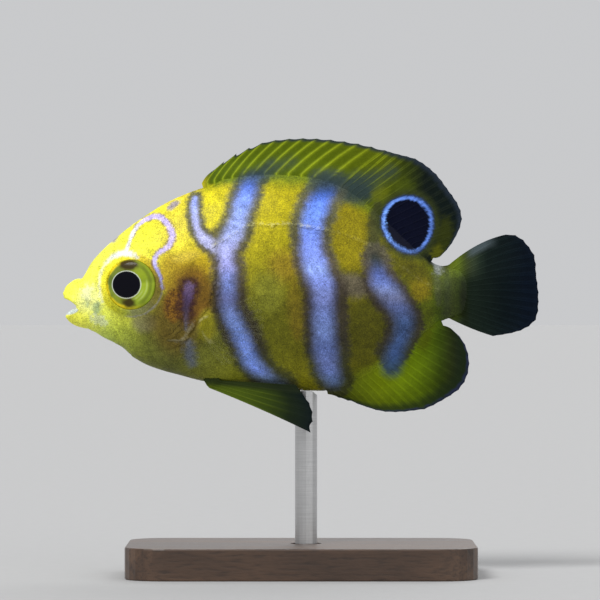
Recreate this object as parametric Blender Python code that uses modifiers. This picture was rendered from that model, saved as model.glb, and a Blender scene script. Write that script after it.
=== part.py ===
"""A juvenile regal angelfish, life size, held up on a plain display stand.

X runs from the snout (-X) to the tail (+X), the left flank faces -Y and +Z is up.
The origin lies on the floor under the middle of the fish. Lengths below are in
millimetres, and every mesh is built in them and brought to metres by finish().
"""

import math

import bmesh
import bpy
from mathutils import Matrix, Vector

METRES = 0.001  # to a millimetre
GAP = 0.3  # kept between two nodes that touch

# The body's outline seen from the side, as (x, z), and its half width, as (x, y)
BACK = [
    (-15.0, 17.9), (-14.9, 18.2), (-14.67, 18.45), (-14.3, 18.7), (-13.98, 18.76),
    (-13.78, 18.84), (-13.26, 19.74), (-12.53, 20.58), (-11.69, 21.31), (-10.64, 22.15),
    (-9.59, 22.88), (-8.55, 23.51), (-7.5, 23.98), (-6.24, 24.44), (-5.01, 24.75),
    (-3.24, 25.02), (-1.03, 25.08), (1.18, 24.82), (2.76, 24.21), (4.03, 23.4),
    (5.29, 22.3), (6.24, 21.38), (7.38, 20.35), (8.26, 19.75), (9.0, 19.52), (9.6, 19.45),
]
BELLY = [
    (-15.0, 17.6), (-14.93, 16.9), (-14.85, 16.3), (-14.67, 16.02), (-14.25, 15.75),
    (-13.6, 15.56), (-12.98, 15.32), (-12.5, 15.02), (-11.27, 14.4), (-10.64, 13.8),
    (-9.39, 13.15), (-7.5, 12.61), (-6.4, 12.32), (-5.45, 12.17), (-4.2, 12.07),
    (-2.9, 12.01), (-1.66, 11.91), (-0.27, 11.72), (0.74, 11.66), (1.5, 11.7),
    (3.08, 12.25), (4.97, 13.25), (6.55, 14.4), (7.9, 15.45), (8.7, 15.98), (9.6, 16.28),
]
HALF_WIDTH = [
    (-15.0, 0.35), (-14.85, 0.62), (-14.5, 0.88), (-14.0, 1.02), (-13.3, 1.2), (-12.5, 1.5),
    (-11.5, 1.85), (-10.5, 2.1), (-9.2, 2.3), (-7.5, 2.45), (-5.5, 2.5), (-3.0, 2.45),
    (-0.5, 2.25), (2.0, 1.95), (4.0, 1.6), (6.0, 1.2), (7.5, 0.92), (8.7, 0.72), (9.6, 0.6),
]
BODY_FRONT = -15.0
BODY_REAR = 9.5
STATIONS = 46
AROUND = 26
PATCH_STATIONS = 14  # of the shorter bodies that shape the gill covers and the rod
BACK_KEENNESS = 1.2  # over 1 narrows the section towards the back
BELLY_KEENNESS = 0.95

# Lines of the thin cuts, as (x, z). Each starts and ends outside the body.
UPPER_LIP_CUT = [(-13.85, 19.6), (-13.86, 18.8), (-13.8, 18.0), (-14.02, 17.2), (-14.2, 16.95)]
LOWER_JAW_CUT = [(-14.25, 16.85), (-13.9, 16.55), (-13.48, 16.1), (-12.85, 15.2), (-12.5, 14.5)]
NAPE_CUT = [(-6.5, 25.2), (-6.4, 23.6), (-5.9, 22.0), (-5.42, 20.9)]
GILL_OPENING = [
    (-5.42, 20.9), (-5.27, 19.78), (-5.4, 18.6), (-5.73, 17.45), (-6.05, 16.65), (-6.5, 16.05),
    (-6.95, 15.3), (-7.42, 14.63), (-8.15, 14.35), (-9.1, 14.2), (-10.2, 14.12), (-11.0, 13.95),
    (-11.6, 13.2),
]
TAIL_STALK_CUT = [(7.6, 21.5), (7.75, 18.0), (7.6, 13.5)]
MOUTH = [
    (-14.16, 16.83), (-14.25, 17.08), (-14.56, 17.32), (-14.92, 17.5), (-15.6, 17.6),
    (-15.6, 16.4), (-14.85, 16.47), (-14.43, 16.77),
]

# The gill cover's plate: its front edge, from the top to the corner of the cheek
GILL_FRONT = [
    (-6.1, 20.85), (-6.9, 20.5), (-7.3, 19.8), (-7.24, 18.96), (-7.16, 17.7), (-7.29, 16.62),
    (-7.55, 15.95), (-7.8, 15.25),
]
GILL_REAR_BOTTOM = 15.2
PLATE_THICKNESS = 0.6
PLATE_RISE = 0.12
CHEEK_SPINE_ROOT = (-8.3, 14.85)
CHEEK_SPINE_LENGTH = 0.9
CHEEK_SPINE_RADIUS = 0.17

EYE_CENTRE = (-10.72, 18.33)
EYE_RADIUS = 1.58
EYE_HALF_DEPTH = 0.85
EYE_BULGE = 0.15  # how far it stands out of the cheek
EYE_TURN = math.radians(13)  # the eyes look a little forwards, as the head narrows
ORBIT_RING_RADIUS = 2.02
ORBIT_RING_THICKNESS = 0.17
NOSTRILS = [(-12.75, 19.35), (-12.35, 19.75)]
NOSTRIL_RADIUS = 0.15

# Fins: each outline holds the tips of its spines and rays, as (x, z)
DORSAL_SPINES = 14
DORSAL_RAYS = 18
DORSAL_SPINE_ROOTS = (-6.2, 2.5)
DORSAL_SPINE_CROWDING = 1.3  # over 1 sets the front spines' roots closer together
DORSAL_RAY_ROOTS = (2.95, 8.2)
DORSAL_SPINE_TIPS = [
    (-5.5, 25.6), (-4.51, 26.4), (-3.24, 27.02), (-1.98, 27.43), (-0.08, 27.6), (1.81, 27.52),
    (3.71, 27.24), (5.3, 26.84),
]
DORSAL_RAY_TIPS = [
    (5.85, 26.66), (6.4, 26.52), (7.19, 26.32), (7.98, 25.82), (8.64, 25.22), (9.24, 24.4),
    (9.87, 23.51), (10.13, 22.78), (10.09, 22.12), (9.61, 21.11), (9.14, 20.48), (8.8, 20.15),
]
ANAL_SPINES = 3
ANAL_RAYS = 18
ANAL_ROOTS = (1.6, 8.85)
ANAL_TIPS = [
    (2.36, 11.21), (3.52, 10.83), (5.0, 10.36), (6.24, 10.3), (6.95, 10.38), (7.84, 10.49),
    (8.67, 10.9), (9.28, 11.25), (9.83, 11.6), (10.24, 12.07), (10.52, 12.68), (10.62, 13.44),
    (10.55, 13.98), (10.38, 14.5), (10.03, 15.05), (9.55, 15.5),
]
TAIL_RAYS = 17
TAIL_ROOT_X = BODY_REAR + GAP
TAIL_ROOT_Z = (16.4, 19.36)
TAIL_ROOT_ARC = 0.15
TAIL_TIPS = [
    (12.94, 21.52), (13.69, 21.44), (14.14, 21.05), (14.52, 20.55), (14.79, 20.03),
    (14.85, 18.96), (14.98, 18.08), (15.0, 17.19), (14.9, 16.26), (14.42, 15.74),
    (13.9, 15.46), (13.16, 15.26), (12.12, 15.1),
]
TAIL_BOW = (0.42, -0.12)  # of the top and the bottom ray, upwards
PECTORAL_RAYS = 12
PECTORAL_ROOTS = [(-5.95, 16.3), (-6.05, 15.6), (-6.3, 14.9)]
PECTORAL_TIPS = [(-3.2, 17.6), (-2.45, 16.7), (-2.3, 15.7), (-2.75, 14.6), (-3.8, 13.6), (-4.9, 13.3)]
PECTORAL_SPLAY = 1.5  # how far its tips stand off the flank
PELVIC_RAYS = 6
PELVIC_ROOTS = [(-5.85, 11.8), (-5.15, 11.78)]
PELVIC_TIPS = [(0.59, 9.05), (0.71, 9.75), (0.7, 10.35), (0.5, 10.9), (0.1, 11.4), (-0.35, 11.8)]
PELVIC_ROOT_Y = 0.5
PELVIC_SPLAY = 1.25

FIN_THICKNESS = 0.5
FIN_EDGE = 0.24
RIDGE = 0.1  # how far a ray stands out of its membrane, each side
FIN_ROWS = 4
MEMBRANE = (0.3, 0.7)  # where the flat web lies between two rays

STAND_LENGTH = 22.0
STAND_WIDTH = 14.0
STAND_THICKNESS = 2.0
STAND_CORNER = 2.5
STAND_EDGE = 0.3
ROD_X = 0.3
ROD_RADIUS = 0.7
ROD_SOCKET_DEPTH = 1.1
ROD_SIDES = 20

COLOURS = {
    "flesh": ((0.72, 0.62, 0.06, 1), 0.45, 0.0),
    "lip": ((0.9, 0.82, 0.1, 1), 0.45, 0.0),
    "fin": ((0.45, 0.5, 0.08, 1), 0.4, 0.0),
    "tail": ((0.16, 0.22, 0.22, 1), 0.35, 0.0),
    "clear": ((0.6, 0.62, 0.35, 1), 0.3, 0.0),
    "eye": ((0.02, 0.02, 0.02, 1), 0.1, 0.0),
    "wood": ((0.12, 0.07, 0.04, 1), 0.5, 0.0),
    "steel": ((0.6, 0.6, 0.6, 1), 0.3, 1.0),
}


def clear_scene():
    for old in list(bpy.data.objects):
        bpy.data.objects.remove(old)


def smooth(points, x):
    """The value at x of the smooth curve through (x, value) points."""
    last = len(points) - 1
    i = max(0, min(last - 1, sum(p[0] <= x for p in points) - 1))

    def slope(k):
        a, b = points[max(k - 1, 0)], points[min(k + 1, last)]
        return (b[1] - a[1]) / (b[0] - a[0])

    (x0, y0), (x1, y1) = points[i], points[i + 1]
    step = x1 - x0
    t = max(0.0, min(1.0, (x - x0) / step))
    return (
        y0 * (1 + 2 * t) * (1 - t) ** 2
        + slope(i) * step * t * (1 - t) ** 2
        + y1 * t * t * (3 - 2 * t)
        + slope(i + 1) * step * t * t * (t - 1)
    )


def curve_through(points, steps=8):
    """Points along the smooth curve through some points of the side view."""
    ends = [points[0], *points, points[-1]]
    found = []
    for p0, p1, p2, p3 in zip(ends, ends[1:], ends[2:], ends[3:]):
        for k in range(steps):
            t = k / steps
            found.append(tuple(
                0.5 * (2 * b + (c - a) * t + (2 * a - 5 * b + 4 * c - d) * t * t
                       + (3 * b - a - 3 * c + d) * t ** 3)
                for a, b, c, d in zip(p0, p1, p2, p3)
            ))
    return [*found, tuple(points[-1])]


def spaced(points, count):
    """count points at even steps of length along the smooth curve through points."""
    line = [Vector(p) for p in curve_through(points)]
    lengths = [0.0]
    for a, b in zip(line, line[1:]):
        lengths.append(lengths[-1] + (b - a).length)
    found = []
    for k in range(count):
        want = lengths[-1] * k / (count - 1)
        i = max(1, next(n for n, at in enumerate(lengths) if at >= want - 1e-9))
        share = (want - lengths[i - 1]) / (lengths[i] - lengths[i - 1])
        found.append(line[i - 1].lerp(line[i], share))
    return found


def half_width_at(x, z):
    """Half the body's width at a place of the side view."""
    top, bottom = smooth(BACK, x), smooth(BELLY, x)
    rise = max(-1.0, min(1.0, (2 * z - top - bottom) / (top - bottom)))
    keenness = BACK_KEENNESS if rise > 0 else BELLY_KEENNESS
    return smooth(HALF_WIDTH, x) * (1 - rise * rise) ** (keenness / 2)


def body_section(x, inset):
    """A ring of points round the body at x, moved inwards by inset."""
    top, bottom = smooth(BACK, x) - inset, smooth(BELLY, x) + inset
    width = smooth(HALF_WIDTH, x) - inset
    ring = []
    for k in range(AROUND):
        angle = 2 * math.pi * k / AROUND
        across, up = math.cos(angle), math.sin(angle)
        keenness = BACK_KEENNESS if up > 0 else BELLY_KEENNESS
        y = math.copysign(abs(across) ** keenness, across) * width
        ring.append(Vector((x, y, (top + bottom) / 2 + up * (top - bottom) / 2)))
    return ring


def object_of(name, mesh):
    made = bpy.data.objects.new(name, mesh)
    bpy.context.scene.collection.objects.link(made)
    return made


def mesh_from(name, points, faces):
    """A closed mesh of triangles from points and faces, turned outwards."""
    mesh = bpy.data.meshes.new(name)
    mesh.from_pydata([Vector(p) for p in points], [], faces)
    shape = bmesh.new()
    shape.from_mesh(mesh)
    bmesh.ops.recalc_face_normals(shape, faces=shape.faces)
    bmesh.ops.triangulate(shape, faces=shape.faces)
    shape.to_mesh(mesh)
    shape.free()
    return object_of(name, mesh)


def loft(name, rings):
    """A solid through rings of equally many points, capped at both ends."""
    count = len(rings[0])
    points = [p for ring in rings for p in ring]
    faces = [
        (r * count + k, r * count + (k + 1) % count,
         (r + 1) * count + (k + 1) % count, (r + 1) * count + k)
        for r in range(len(rings) - 1) for k in range(count)
    ]
    faces.append(tuple(range(count)))
    faces.append(tuple(range(len(points) - count, len(points))))
    return mesh_from(name, points, faces)


def body():
    """The whole fish without fins. Stations lie closer together at the snout."""
    rings = []
    for k in range(STATIONS):
        share = k / (STATIONS - 1)
        rings.append(body_section(BODY_FRONT + (BODY_REAR - BODY_FRONT) * share ** 1.35, 0.0))
    return loft("body", rings)


def body_patch(inset, front, rear):
    """A stretch of the body moved inwards by inset."""
    steps = PATCH_STATIONS - 1
    stations = [front + (rear - front) * k / steps for k in range(PATCH_STATIONS)]
    return loft("body_patch", [body_section(x, inset) for x in stations])


def evaluated_mesh(obj):
    bpy.context.view_layer.update()
    graph = bpy.context.evaluated_depsgraph_get()
    return bpy.data.meshes.new_from_object(obj.evaluated_get(graph))


def remove(obj):
    bpy.data.objects.remove(obj)


def as_mesh(curve_object):
    """A mesh object in place of a curve object, with its caps welded on."""
    mesh = evaluated_mesh(curve_object)
    mesh.transform(curve_object.matrix_world)
    shape = bmesh.new()
    shape.from_mesh(mesh)
    bmesh.ops.remove_doubles(shape, verts=shape.verts, dist=1e-4)
    bmesh.ops.recalc_face_normals(shape, faces=shape.faces)
    shape.to_mesh(mesh)
    shape.free()
    name = curve_object.name
    remove(curve_object)
    return object_of(name, mesh)


def boolean(target, others, operation="DIFFERENCE", solver="EXACT"):
    """Joins or cuts target with other closed meshes, which are then removed."""
    group = bpy.data.collections.new("boolean_group")
    for other in others:
        group.objects.link(other)
    modifier = target.modifiers.new("boolean", "BOOLEAN")
    modifier.operation = operation
    modifier.solver = solver
    if operation == "INTERSECT":
        modifier.object = others[0]
    else:
        modifier.operand_type = "COLLECTION"
        modifier.collection = group
    mesh = evaluated_mesh(target)
    target.modifiers.clear()
    target.data = mesh
    for other in others:
        remove(other)
    bpy.data.collections.remove(group)
    return target


def loose_pieces(obj):
    """The separate closed surfaces of a mesh object, as objects of their own."""
    shape = bmesh.new()
    shape.from_mesh(obj.data)
    shape.verts.ensure_lookup_table()
    waiting = set(shape.verts)
    found = []
    while waiting:
        reached = {waiting.pop()}
        edge_of_search = list(reached)
        while edge_of_search:
            vert = edge_of_search.pop()
            near = {e.other_vert(vert) for e in vert.link_edges} & waiting
            waiting -= near
            reached |= near
            edge_of_search.extend(near)
        found.append(reached)
    pieces = []
    for verts in found:
        index = {v: n for n, v in enumerate(verts)}
        faces = [[index[v] for v in f.verts] for f in shape.faces if f.verts[0] in index]
        mesh = bpy.data.meshes.new(obj.name)
        mesh.from_pydata([v.co.copy() for v in index], [], faces)
        pieces.append(object_of(f"{obj.name}_piece", mesh))
    shape.free()
    remove(obj)
    return pieces


def keep_largest(obj):
    """The same object with only its largest closed surface."""
    name = obj.name
    pieces = sorted(loose_pieces(obj), key=lambda piece: volume_of(piece.data))
    for scrap in pieces[:-1]:
        remove(scrap)
    pieces[-1].name = name
    return pieces[-1]


def volume_of(mesh):
    shape = bmesh.new()
    shape.from_mesh(mesh)
    volume = abs(shape.calc_volume())
    shape.free()
    return volume


def slab(name, outline, half_depth, y=0.0):
    """A flat outline of the side view, made half_depth thick on both sides of y."""
    curve = bpy.data.curves.new(name, "CURVE")
    curve.dimensions = "2D"
    curve.fill_mode = "BOTH"
    curve.extrude = half_depth
    spline = curve.splines.new("POLY")
    spline.points.add(len(outline) - 1)
    for point, (x, z) in zip(spline.points, outline):
        point.co = (x, z, 0, 1)
    spline.use_cyclic_u = True
    made = object_of(name, curve)
    made.rotation_euler = (math.pi / 2, 0, 0)
    made.location = (0, y, 0)
    bpy.context.view_layer.update()
    return as_mesh(made)


def wall(name, points):
    """A cutter GAP thick along a smooth line of the side view, right through the body."""
    line = [Vector(p) for p in curve_through(points, 3)]
    left, right = [], []
    for i, p in enumerate(line):
        along = (line[min(i + 1, len(line) - 1)] - line[max(i - 1, 0)]).normalized()
        aside = Vector((-along.y, along.x)) * GAP / 2
        left.append(p + aside)
        right.append(p - aside)
    return slab(name, left + right[::-1], 5.0)


def ellipsoid(name, centre, radii, turn, segments=20, rings=12):
    bpy.ops.mesh.primitive_uv_sphere_add(segments=segments, ring_count=rings, radius=1)
    made = bpy.context.object
    made.name = name
    place = Matrix.Translation(Vector(centre)) @ Matrix.Rotation(turn, 4, "Z")
    # The sphere's poles lie along Y, so that its rings run round the pupil.
    poles = Matrix.Rotation(math.pi / 2, 4, "X")
    stretch = Matrix.Diagonal((*radii, 1))
    made.data.transform(place @ stretch @ poles)
    return made


def tube(name, path, radii, cyclic=False, sides=2):
    """A round tube along a path, with a radius at each point."""
    curve = bpy.data.curves.new(name, "CURVE")
    curve.dimensions = "3D"
    curve.bevel_depth = 1
    curve.bevel_resolution = sides
    curve.use_fill_caps = not cyclic
    spline = curve.splines.new("POLY")
    spline.points.add(len(path) - 1)
    for point, place, radius in zip(spline.points, path, radii):
        point.co = (*place, 1)
        point.radius = radius
    spline.use_cyclic_u = cyclic
    return as_mesh(object_of(name, curve))


def finish(obj, name, colour, root):
    """Names a node, brings it to metres, gives it its material and hangs it on the root."""
    obj.name = name
    obj.data.name = name
    obj.data.transform(Matrix.Scale(METRES, 4))
    rgba, roughness, metallic = COLOURS[colour]
    material = bpy.data.materials.new(name)
    material.use_nodes = True
    shader = material.node_tree.nodes["Principled BSDF"]
    shader.inputs["Base Color"].default_value = rgba
    shader.inputs["Roughness"].default_value = roughness
    shader.inputs["Metallic"].default_value = metallic
    obj.data.materials.clear()
    obj.data.materials.append(material)
    obj.data.shade_smooth()
    obj.data.set_sharp_from_angle(angle=math.radians(35))
    obj.parent = root
    return obj


def eye_place(side, out):
    """The eye's centre line, out millimetres beyond the cheek, on side -1 or 1."""
    x, z = EYE_CENTRE
    facing = Vector((-math.sin(EYE_TURN), side * math.cos(EYE_TURN), 0))
    return Vector((x, side * half_width_at(x, z), z)) + facing * out


def eye_shape(name, side, grow, mouth=1.0):
    """The eye grown by grow. mouth stretches its outer half, to open a socket."""
    made = ellipsoid(name, (0, 0, 0), (EYE_RADIUS + grow, EYE_HALF_DEPTH + grow, EYE_RADIUS + grow), 0)
    for vert in made.data.vertices:
        if vert.co.y * side > 0:
            vert.co.y *= mouth
    place = Matrix.Translation(eye_place(side, EYE_BULGE - EYE_HALF_DEPTH))
    made.data.transform(place @ Matrix.Rotation(side * EYE_TURN, 4, "Z"))
    return made


def orbit_ring(side):
    """The fleshy rim round the eye, bent to lie on the cheek."""
    path = []
    for k in range(24):
        angle = 2 * math.pi * k / 24
        x = EYE_CENTRE[0] + ORBIT_RING_RADIUS * math.cos(angle) * math.cos(EYE_TURN)
        z = EYE_CENTRE[1] + ORBIT_RING_RADIUS * math.sin(angle)
        path.append((x, side * (half_width_at(x, z) - 0.02), z))
    return tube("orbit_ring", path, [ORBIT_RING_THICKNESS] * 24, cyclic=True, sides=1)


def cheek_spine(side):
    """The spine at the corner of the cheek, which points back under the gill cover."""
    x, z = CHEEK_SPINE_ROOT
    root = Vector((x, side * (half_width_at(x, z) - 0.05), z))
    back = Vector((0.95, side * 0.28, -0.04)).normalized()
    path = [root - back * 0.25, root, root + back * CHEEK_SPINE_LENGTH]
    return tube("cheek_spine", path, [CHEEK_SPINE_RADIUS, CHEEK_SPINE_RADIUS, 0.05])


def nostril(side, place):
    x, z = place
    return ellipsoid(
        "nostril", (x, side * half_width_at(x, z), z),
        (NOSTRIL_RADIUS, NOSTRIL_RADIUS * 1.6, NOSTRIL_RADIUS), 0, 8, 6,
    )


def moved_outwards(outline, steps):
    """A closed outline whose points are moved outwards, each by its own step."""
    area = sum(a.x * b.y - b.x * a.y for a, b in zip(outline, outline[1:] + outline[:1]))
    turn = 1 if area > 0 else -1
    found = []
    for i, p in enumerate(outline):
        before = (p - outline[i - 1]).normalized()
        after = (outline[(i + 1) % len(outline)] - p).normalized()
        along = (before + after).normalized()
        sharpness = max(0.6, along.dot(after))
        found.append(p + Vector((along.y, -along.x)) * turn * steps[i] / sharpness)
    return found


def gill_outline(front_step, rear_step):
    """The gill cover's outline, with its front and rear edges moved outwards."""
    front = [Vector(p) for p in curve_through(GILL_FRONT, 3)]
    opening = curve_through(GILL_OPENING, 3)[::-1]
    rear = [Vector(p) for p in opening if p[1] > GILL_REAR_BOTTOM]
    steps = [front_step] * len(front) + [rear_step] * len(rear)
    return moved_outwards(front + rear, steps)


def gill_cover(side):
    """One gill cover: a curved plate that stands a little proud of the head."""
    plate = body_patch(-PLATE_RISE, -11.0, -4.5)
    edge = slab("edge", gill_outline(-GAP / 2, -GAP / 2), 2.0, side * 2.4)
    plate = boolean(plate, [edge], "INTERSECT", "MANIFOLD")
    inner = body_patch(PLATE_THICKNESS, -11.5, -4.0)
    return keep_largest(boolean(plate, [inner], solver="MANIFOLD"))


def gill_pocket(side):
    pocket = slab("pocket", gill_outline(GAP / 2, 0.0), 2.2, side * 2.6)
    inner = body_patch(PLATE_THICKNESS + GAP, -11.5, -4.0)
    return boolean(pocket, [inner], solver="MANIFOLD")


def fin(name, rays, aside, notch=0.0, rise=RIDGE):
    """A fin from its rays, each a list of points from root to tip.

    The web lies between the rays and ends notch short of their tips. aside is the
    direction across the fin, in which its two faces stand apart.
    """
    columns = [(list(rays[0]), True)]
    for near, far in zip(rays, rays[1:]):
        for share in MEMBRANE:
            web = [a.lerp(b, share) for a, b in zip(near, far)]
            web[-1] = web[-1] - (web[-1] - web[-2]).normalized() * notch
            columns.append((web, False))
        columns.append((list(far), True))
    rows = len(rays[0])
    points, faces = [], []
    for face in (-1, 1):
        for line, is_ray in columns:
            for r, p in enumerate(line):
                out = max(0.0, (r / (rows - 1) - 0.6) / 0.4)
                half = (FIN_THICKNESS + (FIN_EDGE - FIN_THICKNESS) * out) / 2
                half += rise * (1 - 0.7 * out) if is_ray else 0
                points.append(p + aside * half * face)
    layer = len(columns) * rows
    for c in range(len(columns) - 1):
        for r in range(rows - 1):
            a, b = c * rows + r, (c + 1) * rows + r
            faces += [(a, b, b + 1), (a, b + 1, a + 1)]
            faces += [(layer + b, layer + a, layer + b + 1), (layer + b + 1, layer + a, layer + a + 1)]
    last = (len(columns) - 1) * rows
    rim = [c * rows for c in range(len(columns))]
    rim += [last + r for r in range(1, rows)]
    rim += [c * rows + rows - 1 for c in range(len(columns) - 2, -1, -1)]
    rim += [r for r in range(rows - 2, 0, -1)]
    faces += [(a, layer + a, layer + b, b) for a, b in zip(rim, rim[1:] + rim[:1])]
    return mesh_from(name, points, faces)


def bent_ray(root, tip, bow):
    """A ray from root to tip that bows aside by the vector bow at its middle."""
    found = []
    for r in range(FIN_ROWS + 1):
        t = r / FIN_ROWS
        found.append(root.lerp(tip, t) + bow * 4 * t * (1 - t))
    return found


def in_plane(points, y=0.0):
    return [Vector((p[0], y, p[1])) for p in points]


def edge_roots(outline, span, count, gap, crowding=1.0):
    """Roots along the back or belly, gap off its surface, crowded to the front end."""
    found = []
    low, high = span
    for k in range(count):
        x = low + (high - low) * (k / (count - 1)) ** crowding
        step = 0.05
        slope = (smooth(outline, x + step) - smooth(outline, x - step)) / (2 * step)
        up = Vector((-slope, 1)).normalized()
        found.append(Vector((x, smooth(outline, x))) + up * gap)
    return in_plane(found)


def dorsal_spines():
    roots = edge_roots(BACK, DORSAL_SPINE_ROOTS, DORSAL_SPINES, GAP, DORSAL_SPINE_CROWDING)
    tips = in_plane(spaced(DORSAL_SPINE_TIPS, DORSAL_SPINES))
    rays = [bent_ray(a, b, Vector((-0.08, 0, 0.05))) for a, b in zip(roots, tips)]
    return fin("dorsal_fin_spiny", rays, Vector((0, 1, 0)), notch=0.3)


def dorsal_rays():
    roots = edge_roots(BACK, DORSAL_RAY_ROOTS, DORSAL_RAYS, GAP)
    tips = in_plane(spaced(DORSAL_RAY_TIPS, DORSAL_RAYS))
    rays = [bent_ray(a, b, Vector((0, 0, -0.05))) for a, b in zip(roots, tips)]
    return fin("dorsal_fin_soft", rays, Vector((0, 1, 0)), notch=0.04)


def anal_fin():
    count = ANAL_SPINES + ANAL_RAYS
    roots = edge_roots(BELLY, ANAL_ROOTS, count, -GAP)
    tips = in_plane(spaced(ANAL_TIPS, count))
    rays = [bent_ray(a, b, Vector((0.05, 0, 0.03))) for a, b in zip(roots, tips)]
    return fin("anal_fin", rays, Vector((0, 1, 0)), notch=0.05)


def tail_fin():
    tips = in_plane(spaced(TAIL_TIPS, TAIL_RAYS))
    rays = []
    for k, tip in enumerate(tips):
        share = k / (TAIL_RAYS - 1)
        z = TAIL_ROOT_Z[1] + (TAIL_ROOT_Z[0] - TAIL_ROOT_Z[1]) * share
        root = Vector((TAIL_ROOT_X + TAIL_ROOT_ARC * math.sin(math.pi * share), 0, z))
        bow = TAIL_BOW[0] + (TAIL_BOW[1] - TAIL_BOW[0]) * share
        rays.append(bent_ray(root, tip, Vector((0, 0, bow))))
    return fin("tail_fin", rays, Vector((0, 1, 0)), notch=0.05)


def pectoral_fin(side):
    """The fin behind the gill cover, held a little off the flank."""
    roots = spaced(PECTORAL_ROOTS, PECTORAL_RAYS)
    tips = spaced(PECTORAL_TIPS, PECTORAL_RAYS)
    stand_off = GAP + FIN_THICKNESS / 2 + RIDGE
    rays = []
    for a, b in zip(roots, tips):
        root = Vector((a.x, side * (half_width_at(a.x, a.y) + stand_off), a.y))
        tip_y = half_width_at(b.x, b.y) + stand_off + PECTORAL_SPLAY
        rays.append(bent_ray(root, Vector((b.x, side * tip_y, b.y)), Vector((0, side * 0.12, 0))))
    name = "pectoral_fin_left" if side < 0 else "pectoral_fin_right"
    return fin(name, rays, Vector((-0.35, side, 0)).normalized(), notch=0.04, rise=0.07)


def pelvic_fin(side):
    """The fin under the breast, which trails back with its tip down."""
    roots = spaced(PELVIC_ROOTS, PELVIC_RAYS)
    tips = PELVIC_TIPS
    rays = []
    for k, (a, b) in enumerate(zip(roots, tips)):
        share = k / (PELVIC_RAYS - 1)
        root = Vector((a.x, side * (PELVIC_ROOT_Y + 0.1 * share), a.y))
        tip = Vector((b[0], side * (PELVIC_ROOT_Y + PELVIC_SPLAY * (1 - 0.3 * share)), b[1]))
        rays.append(bent_ray(root, tip, Vector((0, side * 0.1, 0.08 * (1 - share)))))
    name = "pelvic_fin_left" if side < 0 else "pelvic_fin_right"
    return fin(name, rays, Vector((-0.12, side, 0.1)).normalized(), notch=0.05)


def body_pieces():
    """The body cut along thin lines into head, lips, trunk and tail stalk."""
    whole = body()
    cutters = [
        slab("mouth", MOUTH, 4.0),
        wall("upper_lip_cut", UPPER_LIP_CUT),
        wall("lower_jaw_cut", LOWER_JAW_CUT),
        wall("head_cut", NAPE_CUT + GILL_OPENING[1:]),
        wall("tail_stalk_cut", TAIL_STALK_CUT),
    ]
    for cutter in cutters:
        whole = boolean(whole, [cutter])
    pieces = sorted(loose_pieces(whole), key=lambda piece: -volume_of(piece.data))
    big, small = pieces[:2], pieces[2:5]
    for scrap in pieces[5:]:
        remove(scrap)

    def middle(piece, axis):
        return sum(v.co[axis] for v in piece.data.vertices) / len(piece.data.vertices)

    head, trunk = sorted(big, key=lambda piece: middle(piece, 0))
    *jaws, stalk = sorted(small, key=lambda piece: middle(piece, 0))
    lower_jaw, upper_lip = sorted(jaws, key=lambda piece: middle(piece, 2))
    return head, trunk, stalk, upper_lip, lower_jaw


def detailed_head(head):
    """The head with eye sockets, nostrils, gill pockets, orbit rims and cheek spines."""
    sides = (-1, 1)
    for side in sides:
        for cutter in (eye_shape("socket", side, GAP, 4.0), gill_pocket(side)):
            head = boolean(head, [cutter])
    head = boolean(head, [nostril(side, place) for side in sides for place in NOSTRILS])
    ridges = [make(side) for side in sides for make in (orbit_ring, cheek_spine)]
    return keep_largest(boolean(head, ridges, "UNION"))


def stand_base():
    """A flat base with rounded corners and a socket for the rod."""
    outline = []
    for quarter, (sx, sy) in enumerate(((1, 1), (-1, 1), (-1, -1), (1, -1))):
        cx = sx * (STAND_LENGTH / 2 - STAND_CORNER)
        cy = sy * (STAND_WIDTH / 2 - STAND_CORNER)
        for k in range(7):
            angle = math.pi / 2 * (quarter + k / 6)
            outline.append((cx + STAND_CORNER * math.cos(angle), cy + STAND_CORNER * math.sin(angle)))
    bottom = [Vector((x, y, 0)) for x, y in outline]
    top = [p + Vector((0, 0, STAND_THICKNESS)) for p in bottom]
    base = loft("stand_base", [bottom, top])
    bevel = base.modifiers.new("soft_edge", "BEVEL")
    bevel.width = STAND_EDGE
    bevel.segments = 2
    bevel.limit_method = "ANGLE"
    bevel.angle_limit = math.radians(60)
    base.data = evaluated_mesh(base)
    base.modifiers.clear()
    top_z = STAND_THICKNESS + 1
    low_z = STAND_THICKNESS - ROD_SOCKET_DEPTH - GAP
    socket = rod("socket", ROD_RADIUS + GAP, low_z, top_z)
    return boolean(base, [socket])


def rod(name, radius, low, high):
    bpy.ops.mesh.primitive_cylinder_add(vertices=ROD_SIDES, radius=radius, depth=high - low)
    made = bpy.context.object
    made.name = name
    made.data.transform(Matrix.Translation(Vector((ROD_X, 0, (low + high) / 2))))
    return made


def stand_rod():
    """The rod from its socket up to the belly, whose shape its top follows."""
    made = rod("stand_rod", ROD_RADIUS, STAND_THICKNESS - ROD_SOCKET_DEPTH, 12.6)
    return keep_largest(boolean(made, [body_patch(-GAP, -4.0, 4.0)]))


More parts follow.
